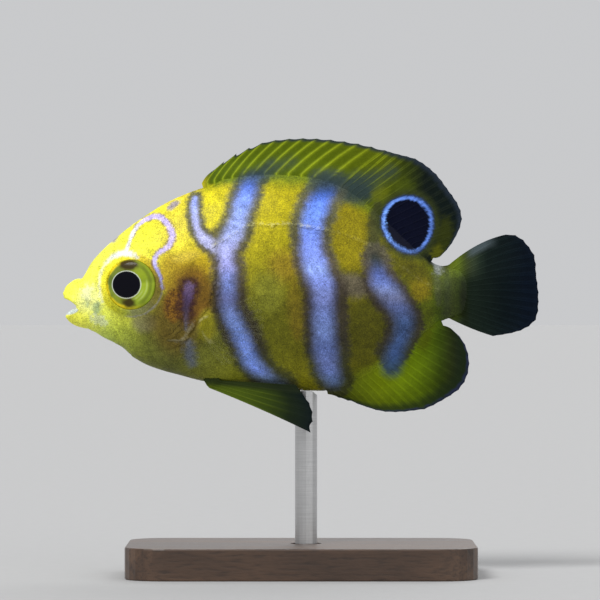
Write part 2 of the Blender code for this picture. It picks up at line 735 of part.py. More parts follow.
def build():
    clear_scene()
    root = bpy.data.objects.new("regal_angelfish", None)
    fish = bpy.data.collections.new("regal_angelfish")
    bpy.context.scene.collection.children.link(fish)
    head, trunk, stalk, upper_lip, lower_jaw = body_pieces()
    nodes = [
        finish(detailed_head(head), "head", "flesh", root),
        finish(trunk, "trunk", "flesh", root),
        finish(stalk, "tail_stalk", "flesh", root),
        finish(upper_lip, "upper_lip", "lip", root),
        finish(lower_jaw, "lower_jaw", "lip", root),
        finish(dorsal_spines(), "dorsal_fin_spiny", "fin", root),
        finish(dorsal_rays(), "dorsal_fin_soft", "fin", root),
        finish(anal_fin(), "anal_fin", "fin", root),
        finish(tail_fin(), "tail_fin", "tail", root),
        finish(stand_base(), "stand_base", "wood", root),
        finish(stand_rod(), "stand_rod", "steel", root),
    ]
    for side, word in ((-1, "left"), (1, "right")):
        nodes += [
            finish(eye_shape("eye", side, 0.0), f"eye_{word}", "eye", root),
            finish(gill_cover(side), f"gill_cover_{word}", "flesh", root),
            finish(pectoral_fin(side), f"pectoral_fin_{word}", "clear", root),
            finish(pelvic_fin(side), f"pelvic_fin_{word}", "fin", root),
        ]
    fish.objects.link(root)
    for node in nodes:
        for group in list(node.users_collection):
            group.objects.unlink(node)
        fish.objects.link(node)


build()
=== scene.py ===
"""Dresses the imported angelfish: one scaled skin, fine-rayed fins, eyes and the stand.

Shapes are worked out in millimetres in the model's own frame and brought to metres at
the end. Markings are laid out in the photograph's pixels, which PIXEL, PHOTO_MIDDLE
and PHOTO_FLOOR tie to the model, and are painted by formula on every surface alike.
"""

import itertools
import math

import bmesh
import bpy
import numpy as np
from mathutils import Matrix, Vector
from mathutils.bvhtree import BVHTree


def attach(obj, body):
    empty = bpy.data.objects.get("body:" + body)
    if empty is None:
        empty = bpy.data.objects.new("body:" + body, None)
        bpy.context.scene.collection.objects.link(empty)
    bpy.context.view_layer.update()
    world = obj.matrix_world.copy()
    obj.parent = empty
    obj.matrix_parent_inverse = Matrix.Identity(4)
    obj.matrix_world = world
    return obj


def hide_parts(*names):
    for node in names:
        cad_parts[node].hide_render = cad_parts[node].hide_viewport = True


METRES = 0.001  # to a millimetre
PIXEL = 0.0632  # millimetres of the fish to a pixel of the photograph
PHOTO_MIDDLE = 301.3  # the column where x is 0
PHOTO_FLOOR = 575.0  # the row where z is 0
PHOTO_SIZE = 600  # pixels across and down

# Large odd numbers that scatter the noise's grid points
HASH = (73856093, 19349663, 83492791)
SEED_STEP, HASH_MIX = 2654435761, 1274126177

# The body's profile, as in the solids, with its end drawn out into the tail fin
BACK = [
    (-15.0, 17.9), (-14.9, 18.2), (-14.67, 18.45), (-14.3, 18.7), (-13.98, 18.76),
    (-13.78, 18.84), (-13.26, 19.74), (-12.53, 20.58), (-11.69, 21.31), (-10.64, 22.15),
    (-9.59, 22.88), (-8.55, 23.51), (-7.5, 23.98), (-6.24, 24.44), (-5.01, 24.75),
    (-3.24, 25.02), (-1.03, 25.08), (1.18, 24.82), (2.76, 24.21), (4.03, 23.4),
    (5.29, 22.3), (6.24, 21.38), (7.38, 20.35), (8.26, 19.75), (9.0, 19.52), (9.6, 19.45),
    (10.9, 19.3),
]
BELLY = [
    (-15.0, 17.6), (-14.93, 16.9), (-14.85, 16.3), (-14.67, 16.02), (-14.25, 15.75),
    (-13.6, 15.56), (-12.98, 15.32), (-12.5, 15.02), (-11.27, 14.4), (-10.64, 13.8),
    (-9.39, 13.15), (-7.5, 12.61), (-6.4, 12.32), (-5.45, 12.17), (-4.2, 12.07),
    (-2.9, 12.01), (-1.66, 11.91), (-0.27, 11.72), (0.74, 11.66), (1.5, 11.7),
    (3.08, 12.25), (4.97, 13.25), (6.55, 14.4), (7.9, 15.45), (8.7, 15.98), (9.6, 16.28),
    (10.9, 16.6),
]
HALF_WIDTH = [
    (-15.0, 0.35), (-14.85, 0.62), (-14.5, 0.88), (-14.0, 1.02), (-13.3, 1.2), (-12.5, 1.5),
    (-11.5, 1.85), (-10.5, 2.1), (-9.2, 2.3), (-7.5, 2.45), (-5.5, 2.5), (-3.0, 2.45),
    (-0.5, 2.25), (2.0, 1.95), (4.0, 1.6), (6.0, 1.2), (7.5, 0.92), (8.7, 0.7), (9.3, 0.52),
    (9.8, 0.32), (10.2, 0.17), (10.6, 0.08), (10.9, 0.04),
]
FRONT, REAR = -15.0, 10.9
BACK_KEENNESS, BELLY_KEENNESS = 1.2, 0.95

# The swellings that carry the dorsal and the anal fin: from x, to x, and how high
DORSAL_BASE = (-6.2, 8.4, 0.42)
ANAL_BASE = (1.3, 8.9, 0.4)
FIN_BASE_WIDTH = 0.42
MOUTH = [
    (-14.16, 16.83), (-14.25, 17.08), (-14.56, 17.32), (-14.92, 17.5), (-15.6, 17.6),
    (-15.6, 16.4), (-14.85, 16.47), (-14.43, 16.77),
]
GILL_OPENING = [
    (-5.42, 20.9), (-5.27, 19.78), (-5.4, 18.6), (-5.73, 17.45), (-6.05, 16.65), (-6.5, 16.05),
    (-6.95, 15.3), (-7.42, 14.63), (-8.15, 14.35), (-9.1, 14.2), (-10.2, 14.12), (-11.0, 13.95),
]
GILL_SLOPE_START = 7  # the point where the opening turns forwards under the cheek
GILL_FRONT = [
    (-6.1, 20.85), (-6.9, 20.5), (-7.3, 19.8), (-7.24, 18.96), (-7.16, 17.7), (-7.29, 16.62),
    (-7.67, 15.8), (-8.3, 15.17), (-9.18, 14.85),
]
EYE_CENTRE = (-10.72, 18.33)
EYE_RADIUS, EYE_HALF_DEPTH, EYE_BULGE, EYE_FLATNESS = 1.58, 0.85, 0.15, 0.28
EYE_TURN = math.radians(13)
ORBIT_RING_RADIUS = 2.02
NOSTRILS = [(-12.75, 19.35), (-12.35, 19.75)]
CHEEK_SPINE_ROOT = (-8.3, 14.85)
SKIN_GRAIN = 0.07  # the spacing of the skin's mesh

# The fins, as in the solids, but for the tail's root, whose ends lie further out and forwards
DORSAL_SPINES, DORSAL_RAYS = 14, 18
DORSAL_SPINE_ROOTS, DORSAL_RAY_ROOTS = (-6.2, 2.5), (2.75, 8.2)
DORSAL_SPINE_CROWDING = 1.3
DORSAL_SPINE_TIPS = [
    (-5.5, 25.6), (-4.51, 26.4), (-3.24, 27.02), (-1.98, 27.43), (-0.08, 27.6), (1.81, 27.52),
    (3.71, 27.24), (5.3, 26.84),
]
DORSAL_RAY_TIPS = [
    (5.6, 26.74), (6.4, 26.52), (7.19, 26.32), (7.98, 25.82), (8.64, 25.22), (9.24, 24.4),
    (9.87, 23.51), (10.13, 22.78), (10.09, 22.12), (9.61, 21.11), (9.14, 20.48), (8.8, 20.15),
]
ANAL_SPINES, ANAL_RAYS = 3, 18
ANAL_ROOTS = (1.6, 8.85)
ANAL_TIPS = [
    (2.36, 11.21), (3.52, 10.83), (5.0, 10.36), (6.24, 10.3), (6.95, 10.38), (7.84, 10.49),
    (8.67, 10.9), (9.28, 11.25), (9.83, 11.6), (10.24, 12.07), (10.52, 12.68), (10.62, 13.44),
    (10.55, 13.98), (10.38, 14.5), (10.03, 15.05), (9.55, 15.5),
]
TAIL_RAYS = 17
TAIL_ROOT_X, TAIL_ROOT_ARC = 9.3, 0.65
TAIL_ROOT_Z = (16.25, 19.58)
TAIL_TIPS = [
    (12.94, 21.52), (13.69, 21.44), (14.14, 21.05), (14.52, 20.55), (14.79, 20.03),
    (14.85, 18.96), (14.98, 18.08), (15.0, 17.19), (14.9, 16.26), (14.42, 15.74),
    (13.9, 15.46), (13.16, 15.26), (12.12, 15.1),
]
TAIL_BOW = (0.3, -0.08)
PECTORAL_RAYS = 12
PECTORAL_ROOTS = [(-5.95, 16.3), (-6.05, 15.6), (-6.3, 14.9)]
PECTORAL_TIPS = [
    (-3.2, 17.6), (-2.45, 16.7), (-2.3, 15.7), (-2.75, 14.6), (-3.8, 13.6), (-4.9, 13.3),
]
PECTORAL_STAND_OFF, PECTORAL_SPLAY = 0.65, 1.5
PELVIC_RAYS = 6
PELVIC_ROOTS = [(-5.85, 11.85), (-5.1, 12.3)]
PELVIC_TIPS = [
    (0.59, 9.05), (0.71, 9.75), (0.7, 10.35), (0.5, 10.9), (0.1, 11.45), (-0.35, 12.05),
]
PELVIC_ROOT_Y, PELVIC_SPLAY = 0.55, 1.25

# Strokes of the pattern in photograph pixels, each point with the stroke's half width
BAR_1_LEFT = [
    (195.5, 199, 2.2), (194.6, 206, 2.8), (195, 214, 2.8), (196, 220, 2.8), (198, 229, 3.2),
    (201, 235, 3.9), (208, 241.5, 5), (217, 246.5, 6.5), (223, 249.5, 7),
]
BAR_1 = [
    (272, 162, 3), (262, 171, 4), (252, 179, 5.5), (249, 187, 7.5), (246.5, 195, 8.5),
    (243.5, 203, 8.3), (240.8, 212, 7.3), (238.8, 220, 7), (236, 229, 8.3), (230.5, 240, 8.6),
    (226, 250, 8), (226.7, 259, 6.8), (228, 268, 7), (228.4, 280, 6.8), (228.8, 294, 7.3),
    (229, 305, 6.8), (231.8, 315, 7.2), (236, 325, 7), (241, 335, 7), (245.5, 346, 6.5),
    (249, 356, 7), (254, 365, 7), (262, 374, 6), (272, 381, 4.5), (284, 385, 2),
]
BAR_2 = [
    (326, 180, 8), (327, 187, 9), (323.3, 194, 9), (318.7, 202, 9.8), (316, 210, 10.8),
    (313.1, 218, 10), (311.4, 227, 10.5), (311, 240, 9.6), (311, 250, 9.8), (312.8, 259, 11),
    (315.3, 267, 11.3), (318, 275, 11), (321, 283, 11), (323, 291, 11), (322.8, 305, 10.2),
    (323.4, 320, 10.3), (324, 335, 10.3), (325, 350, 11.2), (327.5, 362, 10.4), (329.5, 371, 9.6),
    (333, 379, 8),
]
BAR_3 = [
    (374.8, 258, 5.5), (377, 266, 7), (378, 274, 7.6), (380.5, 282, 9.2), (386, 290, 10),
    (392, 298, 10), (397.5, 306, 9.2), (402, 314, 9.2), (403.8, 322, 9.6), (402.5, 330, 8.3),
    (401, 338, 7.5), (397.5, 346, 7.6), (394, 354, 8.6), (393, 361, 9.4), (391.5, 367, 9.2),
]
BROW_LOOP = [
    (127, 252, 2), (130, 242, 2), (133, 234, 2), (137, 227.5, 2.1), (142, 222.3, 2.2),
    (148, 218.6, 2.4), (155, 216.6, 2.6), (161.5, 218, 2.8), (167.5, 223.5, 2.9), (172, 231, 3),
    (173, 238, 2.9), (170.5, 245, 2.6), (165.5, 249.5, 2.3), (160, 253, 2.2), (156, 258, 2.1),
    (156, 265, 1.9), (159.5, 272, 1.6), (162, 279, 1.3), (163.6, 289, 0.9),
]
# The line of a painted highlight, white before the eye and broader over it
BROW_HIGHLIGHT_LINE = [
    (103, 302, 0.3), (101, 292, 0.5), (100.2, 281, 0.6), (102.4, 271, 0.8), (107, 263, 1.1),
    (114, 256.5, 1.9), (123, 253.3, 2.4), (131, 254, 2.0), (138, 257, 1),
]
CHEEK_BAR = [
    (190, 287, 5.3), (189.2, 296, 4.4), (187.2, 306, 3.2), (187, 318, 2.2), (186.3, 331, 1.2),
]
CHEEK_SMEAR = [(190, 343, 3), (190, 352, 5), (192, 362, 4)]
CHEEK_ARC = [
    (195, 321, 0.4), (191.5, 327, 0.6), (188, 333, 0.7), (183, 339, 0.5), (177, 342, 0.2),
]
PECTORAL_ARCS = [
    [(200, 322, 0.4), (203, 318.5, 0.6), (208, 316.5, 0.4)],
    [(203, 331, 0.4), (206, 337, 0.6), (211, 342, 0.4)],
]
LATERAL_LINE = [
    (213, 246, 0), (228, 238, 0), (234, 235, 0), (247, 226, 0), (257, 223.7, 0), (268, 225.3, 0),
    (280, 224, 0), (292, 224.3, 0), (305, 226, 0), (335, 232, 0), (365, 243, 0), (395, 262, 0),
    (420, 280, 0), (440, 290, 0),
]
FIN_SMEAR = [
    (316, 187, 5), (332, 184, 5.5), (350, 182, 6), (368, 179, 6), (384, 175, 4), (392, 171, 2),
]
BAR_1_FIN_SMEAR = [(256, 177, 4), (268, 171, 5), (280, 166, 4), (291, 161, 2)]
EYE_SPOT = (408.0, 224.8, 20.6, 24.0)  # its middle and half axes
EYE_SPOT_LEAN = -12
PUPIL, PUPIL_RADII = (127.7, 284.7), (14.0, 13.2)
IRIS = (131.0, 284.6)

# Linear colours, most of them by column or row
# By column, the tones along the top of the body and those below. The lower ones are darker partly from
# the fish's own olive and partly as painted shade, for light falling from above.
TOP_TONES = [
    (62, (0.98, 0.98, 0.09)), (100, (0.9, 0.9, 0.1)), (150, (0.92, 0.89, 0.045)),
    (168, (0.82, 0.72, 0.045)), (185, (0.8, 0.69, 0.04)), (215, (0.68, 0.58, 0.02)),
    (285, (0.49, 0.42, 0.006)), (345, (0.26, 0.22, 0.003)), (440, (0.13, 0.13, 0.003)),
]
LOW_TONES = [
    (62, (0.95, 0.97, 0.12)), (80, (0.88, 0.93, 0.13)), (92, (0.6, 0.74, 0.12)),
    (105, (0.44, 0.58, 0.1)), (118, (0.4, 0.48, 0.055)), (140, (0.2, 0.225, 0.03)),
    (170, (0.115, 0.125, 0.025)), (240, (0.12, 0.125, 0.008)), (300, (0.105, 0.1, 0.004)),
    (370, (0.085, 0.08, 0.003)), (440, (0.072, 0.11, 0.004)),
]
DORSAL_WEB = [
    (205, (0.07, 0.11, 0.006)), (235, (0.09, 0.135, 0.005)), (330, (0.085, 0.12, 0.003)),
    (380, (0.085, 0.11, 0.003)), (405, (0.028, 0.04, 0.004)), (425, (0.005, 0.009, 0.007)),
    (460, (0.003, 0.007, 0.007)),
]
DORSAL_RAY = [
    (205, (0.29, 0.38, 0.02)), (260, (0.3, 0.38, 0.015)), (330, (0.29, 0.36, 0.012)),
    (380, (0.21, 0.26, 0.008)), (405, (0.055, 0.075, 0.008)), (425, (0.01, 0.015, 0.01)),
    (460, (0.008, 0.013, 0.01)),
]
ANAL_WEB = [
    (325, (0.065, 0.08, 0.006)), (350, (0.075, 0.095, 0.005)), (380, (0.13, 0.175, 0.003)),
    (400, (0.13, 0.19, 0.003)), (420, (0.1, 0.155, 0.003)), (440, (0.038, 0.062, 0.004)),
    (449, (0.029, 0.043, 0.007)), (455, (0.021, 0.031, 0.009)), (461, (0.013, 0.021, 0.016)),
    (470, (0.008, 0.012, 0.02)),
]
TAIL_UPPER = [
    (446, (0.06, 0.072, 0.02)), (451, (0.12, 0.16, 0.012)), (458, (0.11, 0.155, 0.014)),
    (463, (0.065, 0.09, 0.015)), (468, (0.044, 0.06, 0.02)), (473, (0.036, 0.052, 0.026)),
    (480, (0.015, 0.026, 0.017)), (487, (0.006, 0.012, 0.01)), (526, (0.002, 0.005, 0.01)),
]
TAIL_LOWER = [
    (442, (0.06, 0.08, 0.036)), (452, (0.062, 0.085, 0.014)), (457, (0.045, 0.067, 0.009)),
    (462, (0.019, 0.03, 0.006)), (470, (0.008, 0.015, 0.009)), (502, (0.003, 0.007, 0.008)),
    (526, (0.002, 0.005, 0.011)),
]
BAR_1_TONES = [
    (168, (0.05, 0.075, 0.04)), (174, (0.045, 0.075, 0.1)), (181, (0.085, 0.155, 0.44)),
    (186, (0.085, 0.16, 0.57)), (195, (0.19, 0.31, 0.92)), (210, (0.28, 0.4, 0.95)),
    (230, (0.38, 0.47, 0.96)), (250, (0.48, 0.51, 0.96)), (266, (0.43, 0.45, 0.94)),
    (275, (0.26, 0.32, 0.75)), (285, (0.17, 0.23, 0.56)), (300, (0.14, 0.17, 0.4)),
    (318, (0.18, 0.27, 0.65)), (332, (0.17, 0.27, 0.68)), (346, (0.19, 0.31, 0.86)),
    (356, (0.16, 0.26, 0.68)), (370, (0.13, 0.2, 0.54)), (380, (0.08, 0.12, 0.2)),
]
BAR_2_TONES = [
    (180, (0.045, 0.07, 0.06)), (187, (0.045, 0.09, 0.24)), (195, (0.065, 0.145, 0.56)),
    (203, (0.14, 0.27, 0.93)), (215, (0.18, 0.32, 0.95)), (240, (0.2, 0.3, 0.9)),
    (258, (0.25, 0.35, 0.93)), (270, (0.3, 0.42, 0.95)), (283, (0.22, 0.29, 0.74)),
    (291, (0.18, 0.23, 0.54)), (300, (0.16, 0.2, 0.47)), (315, (0.15, 0.21, 0.5)),
    (330, (0.145, 0.21, 0.47)), (348, (0.11, 0.16, 0.4)), (362, (0.1, 0.135, 0.32)),
    (370, (0.095, 0.135, 0.33)), (380, (0.07, 0.11, 0.23)),
]
BAR_3_TONES = [
    (258, (0.035, 0.045, 0.04)), (266, (0.055, 0.075, 0.15)), (274, (0.11, 0.16, 0.45)),
    (283, (0.155, 0.22, 0.57)), (290, (0.2, 0.255, 0.52)), (298, (0.155, 0.18, 0.34)),
    (306, (0.1, 0.135, 0.32)), (322, (0.052, 0.094, 0.225)), (340, (0.043, 0.084, 0.215)),
    (355, (0.038, 0.077, 0.2)), (370, (0.035, 0.066, 0.1)),
]
BORDER_TONES = [
    (180, (0.05, 0.07, 0.05)), (200, (0.11, 0.11, 0.07)), (230, (0.08, 0.08, 0.045)),
    (262, (0.09, 0.075, 0.055)), (290, (0.045, 0.035, 0.025)), (300, (0.033, 0.025, 0.018)),
    (340, (0.028, 0.024, 0.018)), (365, (0.03, 0.033, 0.012)),
]
EYE_SPOT_BLACK = (0.002, 0.003, 0.012)
EYE_SPOT_BLUE = (0.18, 0.36, 0.97)
EYE_SPOT_NAVY = (0.02, 0.04, 0.12)
SLATE = (0.03, 0.05, 0.05)
MARGIN = (0.018, 0.027, 0.042)
ORBIT_TONES = [  # by the angle in degrees from the rear, downwards
    (-180, (0.9, 0.82, 0.04)), (-135, (0.93, 0.88, 0.04)), (-90, (0.9, 0.78, 0.04)),
    (-60, (0.7, 0.56, 0.03)), (-40, (0.45, 0.34, 0.02)), (-18, (0.24, 0.19, 0.025)),
    (10, (0.18, 0.15, 0.02)), (30, (0.14, 0.12, 0.02)), (60, (0.15, 0.15, 0.05)),
    (85, (0.16, 0.17, 0.06)), (100, (0.3, 0.33, 0.03)), (125, (0.4, 0.4, 0.015)),
    (150, (0.62, 0.58, 0.03)), (180, (0.9, 0.82, 0.04)),
]

# How finely the body is sampled, and how the fins' rays bow and start
BODY_STATIONS, BODY_ANGLES, STATION_CROWDING = 260, 144, 1.15
BASE_FADE = 1.6  # how far along the body a fin's base takes to rise
DORSAL_SPINE_BOW, DORSAL_RAY_BOW = (-0.08, 0, 0.05), (0, 0, -0.05)
ANAL_BOW = (0.05, 0, 0.03)
TAIL_INNER = -1.3  # how far before its root a tail ray starts, inside the body
TAIL_AXIS = 17.9  # the height towards which those starts draw together

# Where one tone gives way to the next: (columns or rows, values), or (none yet, full)
GROUND_MIDDLE = ([62, 110, 150, 200, 270, 350, 440], [345, 318, 300, 278, 258, 262, 262])
GROUND_REACH = ([110, 200, 300], [36, 50, 60])
DORSAL_START = ([215, 285], [-0.55, -1.05])
DORSAL_FULL = 0.15
DORSAL_FROM, ANAL_FROM = (196, 212), (318, 345)
DORSAL_END = 425
TAIL_FROM, TAIL_LOWER_FROM = (438, 449), (264, 284)
TAIL_TOP = ([446, 506], [258, 228])
OVER_ANAL, BEHIND_ANAL = (324, 314), (455, 470)
DUSK_DOWN, DUSK_FROM, DUSK_TO, DUSK = (270, 302), (428, 440), (471, 464), 0.52
BORDER_SHIFT = ([240, 290], [0, 2])
BORDER_NARROWING = ([215, 245], [1.25, 1])
BORDER_REACH = ([180, 230, 262, 300, 335, 362], [10, 11.5, 10, 11, 13, 10.5])
BORDER_FROM, BAR_3_BORDER_TO = (163, 180), (350, 376)
BAR_SOFTNESS = ([262, 300], [0, 2.5])
ARM_TO = (222, 206)
CHEEK_BAR_FROM, CHEEK_BAR_TO = (272, 281), (334, 314)
LOOP_EDGE_FROM, LOOP_WHITE_TO, LOOP_WHITE_DOWN = (128, 138), (146, 132), (268, 262)
# How strong the painted highlight over the eye is, by row
BROW_HIGHLIGHT_STRENGTH = ([255, 270], [0.9, 0.6])
LID_EDGE, LID_RIM = (33.5, 30), 32  # in pixels from the iris
LID_RIM_FROM, LID_RIM_TO = (2, 15), (105, 85)  # in degrees
LATERAL_LINE_TO = (345, 300)
TAIL_STREAK = ([450, 490, 520], [262, 241, 239])
TAIL_STREAK_FROM, TAIL_STREAK_TO = (464, 474), (500, 484)
# The row of the belly's painted shadow on the pelvic fin, by column
PELVIC_UPPER_EDGE = ([215, 298], [381, 389])
PELVIC_FRONT_EDGE = ([212, 240, 275, 310], [391, 405, 419, 431])
GAIN_FROM, GAIN_TO = (-9.5, -4.0), (1.0, 3.5)  # in millimetres along the body

# Linear colours of fins, eyes and single marks
PELVIC_WEB = [
    (0, (0.055, 0.08, 0.006)), (0.3, (0.06, 0.09, 0.006)), (0.55, (0.034, 0.055, 0.005)),
    (0.8, (0.009, 0.016, 0.006)), (1, (0.004, 0.008, 0.009)),
]
IRIS_TONES = [  # by the angle in degrees from the rear, downwards
    (-180, (0.14, 0.2, 0.03)), (-90, (0.18, 0.21, 0.025)), (-30, (0.26, 0.34, 0.02)),
    (20, (0.33, 0.44, 0.03)), (60, (0.33, 0.44, 0.03)), (100, (0.22, 0.25, 0.02)),
    (140, (0.25, 0.32, 0.03)), (180, (0.14, 0.2, 0.03)),
]
CHEEK_BAR_TONES = [
    (283, (0.15, 0.1, 0.2)), (298, (0.08, 0.05, 0.12)), (308, (0.05, 0.032, 0.06)),
    (318, (0.08, 0.06, 0.09)), (331, (0.13, 0.13, 0.14)),
]
ARM_TONES = [(205, (0.34, 0.42, 0.93)), (232, (0.55, 0.57, 0.95))]
LOOP_TONES = [
    (250, (0.64, 0.54, 0.92)), (262, (0.55, 0.5, 0.88)), (274, (0.33, 0.34, 0.72)),
    (290, (0.3, 0.32, 0.5)),
]
# The last of these is the white of a painted highlight before and over the eye.
LOOP_WHITE, LOOP_EDGE, BROW_HIGHLIGHT = (0.84, 0.84, 0.86), (0.2, 0.11, 0.12), (0.84, 0.88, 0.84)
EYE_SPOT_HALO, EYE_SPOT_FOOT = (0.035, 0.045, 0.012), (0.05, 0.09, 0.24)
EYE_SPOT_SIDE_BLUE = (0.11, 0.22, 0.66)
EYE_SPOT_NARROWING = 0.12
CHEEK_DOTS = (175, 305, 10, 16)
CHEEK_DOT_GOLD, CHEEK_DOT_BROWN = (0.25, 0.115, 0.012), (0.035, 0.012, 0.008)
CHEEK_BAR_DARK = (0.05, 0.02, 0.014)
LINE_PALE, LINE_DARK = (0.66, 0.64, 0.3), (0.12, 0.11, 0.02)
LID_GREY = (0.24, 0.23, 0.25)
ANAL_DUSK, ANAL_RIM = (0.01, 0.018, 0.006), (0.02, 0.025, 0.07)
TAIL_STREAK_GREY, TAIL_RIM = (0.075, 0.1, 0.11), (0.004, 0.008, 0.018)
# The middle one is the tone of a painted shadow that the belly casts on the fin.
PELVIC_RAY, PELVIC_SHADOW, PELVIC_GREEN = (0.13, 0.175, 0.012), (0.012, 0.018, 0.007), (0.17, 0.22, 0.016)
PECTORAL_CLEAR, PECTORAL_YELLOW = (0.3, 0.3, 0.16), (0.24, 0.23, 0.012)
# The first is the pale green of a painted highlight, glare on the iris.
IRIS_GLINT, IRIS_RING, IRIS_GOLD = (0.6, 0.7, 0.25), (0.1, 0.13, 0.015), (0.95, 0.74, 0.02)
PUPIL_RING, PUPIL_BLACK = (0.8, 0.84, 0.8), (0.001, 0.001, 0.004)
SPINE_TONE, SPINE_ROOT_TONE = (0.15, 0.13, 0.06), (0.09, 0.075, 0.015)

# Soft patches: middle, half axes, lean, outer and inner edge, roughness, most cover, tint
SNOUT_PATCHES_AND_HIGHLIGHT = [
    # The first two, pale yellow and whitish, are a painted highlight on the snout.
    (90, 299, 12, 14, 20, 7, -6, 2, 0.7, (0.84, 0.88, 0.35)),
    (88, 293, 5, 8, 0, 3, -3, 3, 0.3, (0.86, 0.88, 0.76)),
    (97.5, 308, 4.5, 6.5, 0, 3, -3, 1.5, 0.75, (0.22, 0.34, 0.2)),
    (87.5, 303, 2.5, 4, 0, 3, -3, 1.5, 0.5, (0.22, 0.34, 0.2)),
    (100, 320, 9, 5, 20, 3, -2, 2.5, 0.55, (0.6, 0.66, 0.5)),
    (71.5, 311.5, 7.5, 2.6, -14, 1, -0.6, 0, 1, (0.68, 0.76, 0.72)),
]
BROW_SMUDGES = [
    (x, y, wide, tall, -35, 2, -1.5, 1, 0.85, (0.32, 0.27, 0.4))
    for x, y, wide, tall in ((174, 205.5, 7, 3), (114.5, 239.5, 4, 2))
]
IRIS_SMUDGES = [
    (x, y, wide, tall, 0, 3, -2.5, 1.5, 0.95, (0.035, 0.02, 0.006))
    for x, y, wide, tall in ((129.5, 265, 9, 5.5), (130.5, 302.5, 6.5, 4.5))
]

# Clouds: middle, half axes, lean, softness, most cover, tint
CHEEK_PATCHES = [
    (146, 322, 13, 10, 0, 5, 0.65, (0.16, 0.14, 0.1)),
    (176, 322, 26, 32, -12, 13, 0.92, (0.115, 0.08, 0.012)),
    (195, 266, 20, 16, 0, 9, 0.85, (0.52, 0.36, 0.01)),
    (171, 272, 13, 18, 0, 7, 0.85, (0.46, 0.31, 0.018)),
    (187, 257, 14, 5, -12, 4, 0.5, (0.68, 0.53, 0.07)),
    (194, 294, 23, 29, 0, 9, 0.9, (0.15, 0.072, 0.009)),
    (208, 325, 8, 15, 0, 5, 0.85, (0.27, 0.245, 0.013)),
]
FLANK_PATCHES = [
    (214, 208, 12, 20, 0, 7, 0.8, (0.7, 0.62, 0.012)),
    (285, 266, 16, 16, 0, 9, 0.45, (0.3, 0.17, 0.02)),
    (268, 292, 15, 20, 0, 9, 0.6, (0.22, 0.23, 0.025)),
    (296, 310, 8, 30, -5, 7, 0.35, (0.2, 0.12, 0.012)),
    (350, 192, 28, 12, 0, 9, 0.95, (0.025, 0.043, 0.044)),
    (380, 195, 9, 9, 0, 4, 0.85, (0.115, 0.135, 0.006)),
    (403, 186, 10, 8, 0, 5, 0.6, (0.07, 0.095, 0.006)),
    (352, 285, 22, 11, 12, 6, 0.9, (0.125, 0.105, 0.07)),
    (374, 232, 8, 32, 8, 5, 0.88, (0.042, 0.048, 0.016)),
    (349, 238.5, 17, 32, -6, 3.5, 1, (0.265, 0.22, 0.004)),
    (368, 333, 20, 34, 8, 4, 0.85, (0.066, 0.064, 0.003)),
    (413, 273, 22, 12, 35, 7, 0.9, (0.09, 0.083, 0.003)),
    (420, 291, 11, 11, 0, 6, 0.9, (0.2, 0.155, 0.005)),
    (424, 325, 9, 26, 5, 6, 0.7, (0.062, 0.072, 0.003)),
    (443, 238, 9, 20, 12, 6, 0.8, (0.032, 0.04, 0.004)),
    (436, 252, 6, 7, 20, 4, 0.8, (0.085, 0.09, 0.004)),
    (437, 286, 4, 20, -4, 4, 0.6, (0.1, 0.12, 0.05)),
    (438, 268, 4.5, 6.5, 0, 3, 0.6, (0.3, 0.32, 0.34)),
]
FLANK_UNEVENNESS = 2.2
# Arcs of painted highlight, glare on the iris below and behind the pupil
IRIS_GLINT_ARCS = [(20.5, -20, 60), (17.2, 10, 75)]  # radius, first and last angle

# Soft strokes: the line, outer and inner edge, roughness, most cover, tint
CHEEK_STREAKS = [
    (CHEEK_SMEAR, 5, -4, 1.5, 0.85, (0.085, 0.1, 0.14)),
    (CHEEK_ARC, 1.4, -0.6, 0.4, 0.5, (0.3, 0.28, 0.18)),
    *((arc, 1.2, -0.4, 0.5, 0.35, (0.5, 0.48, 0.25)) for arc in PECTORAL_ARCS),
]

# Relief of the skin in millimetres. A welt: how high, how far from its line, how wide
SOCKET_DEPTH, NOSTRIL_DEPTH, FIN_BASE_HEIGHT = 0.85, 0.16, 0.12
LID = (0.05, ORBIT_RING_RADIUS - 0.1, 0.2)
NOSTRIL_RIM = (0.035, 0.19, 0.07)
GILL_SWELL, GILL_GROOVE = (0.035, 0, 0.9), (-0.03, 0.07, 0.1)
CHEEK_SWELL, CHEEK_GROOVE = (0.02, 0.12, 0.16), (-0.024, 0, 0.07)
CHEEK_EDGE_DOWN, GILL_FORWARDS = (285, 325), (200, 172)
LIP_FOLD = [(81.5, 275, 0), (80.5, 285, 0), (78.5, 296, 0), (77, 306, 0)]
JAW_FOLD = [(77, 309, 0), (80.5, 316, 0), (86, 325, 0), (90, 334, 0)]
MOUTH_LINE = [(64, 296, 0), (71, 301, 0), (76.5, 308, 0), (66.5, 314.5, 0)]
LINE_WELTS = [
    (LIP_FOLD, -0.05, 0, 0.08), (JAW_FOLD, -0.04, 0, 0.08), (MOUTH_LINE, 0.05, 0.16, 0.12),
    (LATERAL_LINE, 0.015, 0, 0.07),
]
PECTORAL_BASE = (205, 326, 8, 15)


def smooth(points, x):
    """The value at x of the smooth curve through (x, value) points."""
    last = len(points) - 1
    i = max(0, min(last - 1, sum(p[0] <= x for p in points) - 1))

    def slope(k):
        a, b = points[max(k - 1, 0)], points[min(k + 1, last)]
        return (b[1] - a[1]) / (b[0] - a[0])

    (x0, y0), (x1, y1) = points[i], points[i + 1]
    run = x1 - x0
    t = max(0.0, min(1.0, (x - x0) / run))
    return (
        y0 * (1 + 2 * t) * (1 - t) ** 2
        + slope(i) * run * t * (1 - t) ** 2
        + y1 * t * t * (3 - 2 * t)
        + slope(i + 1) * run * t * t * (t - 1)
    )


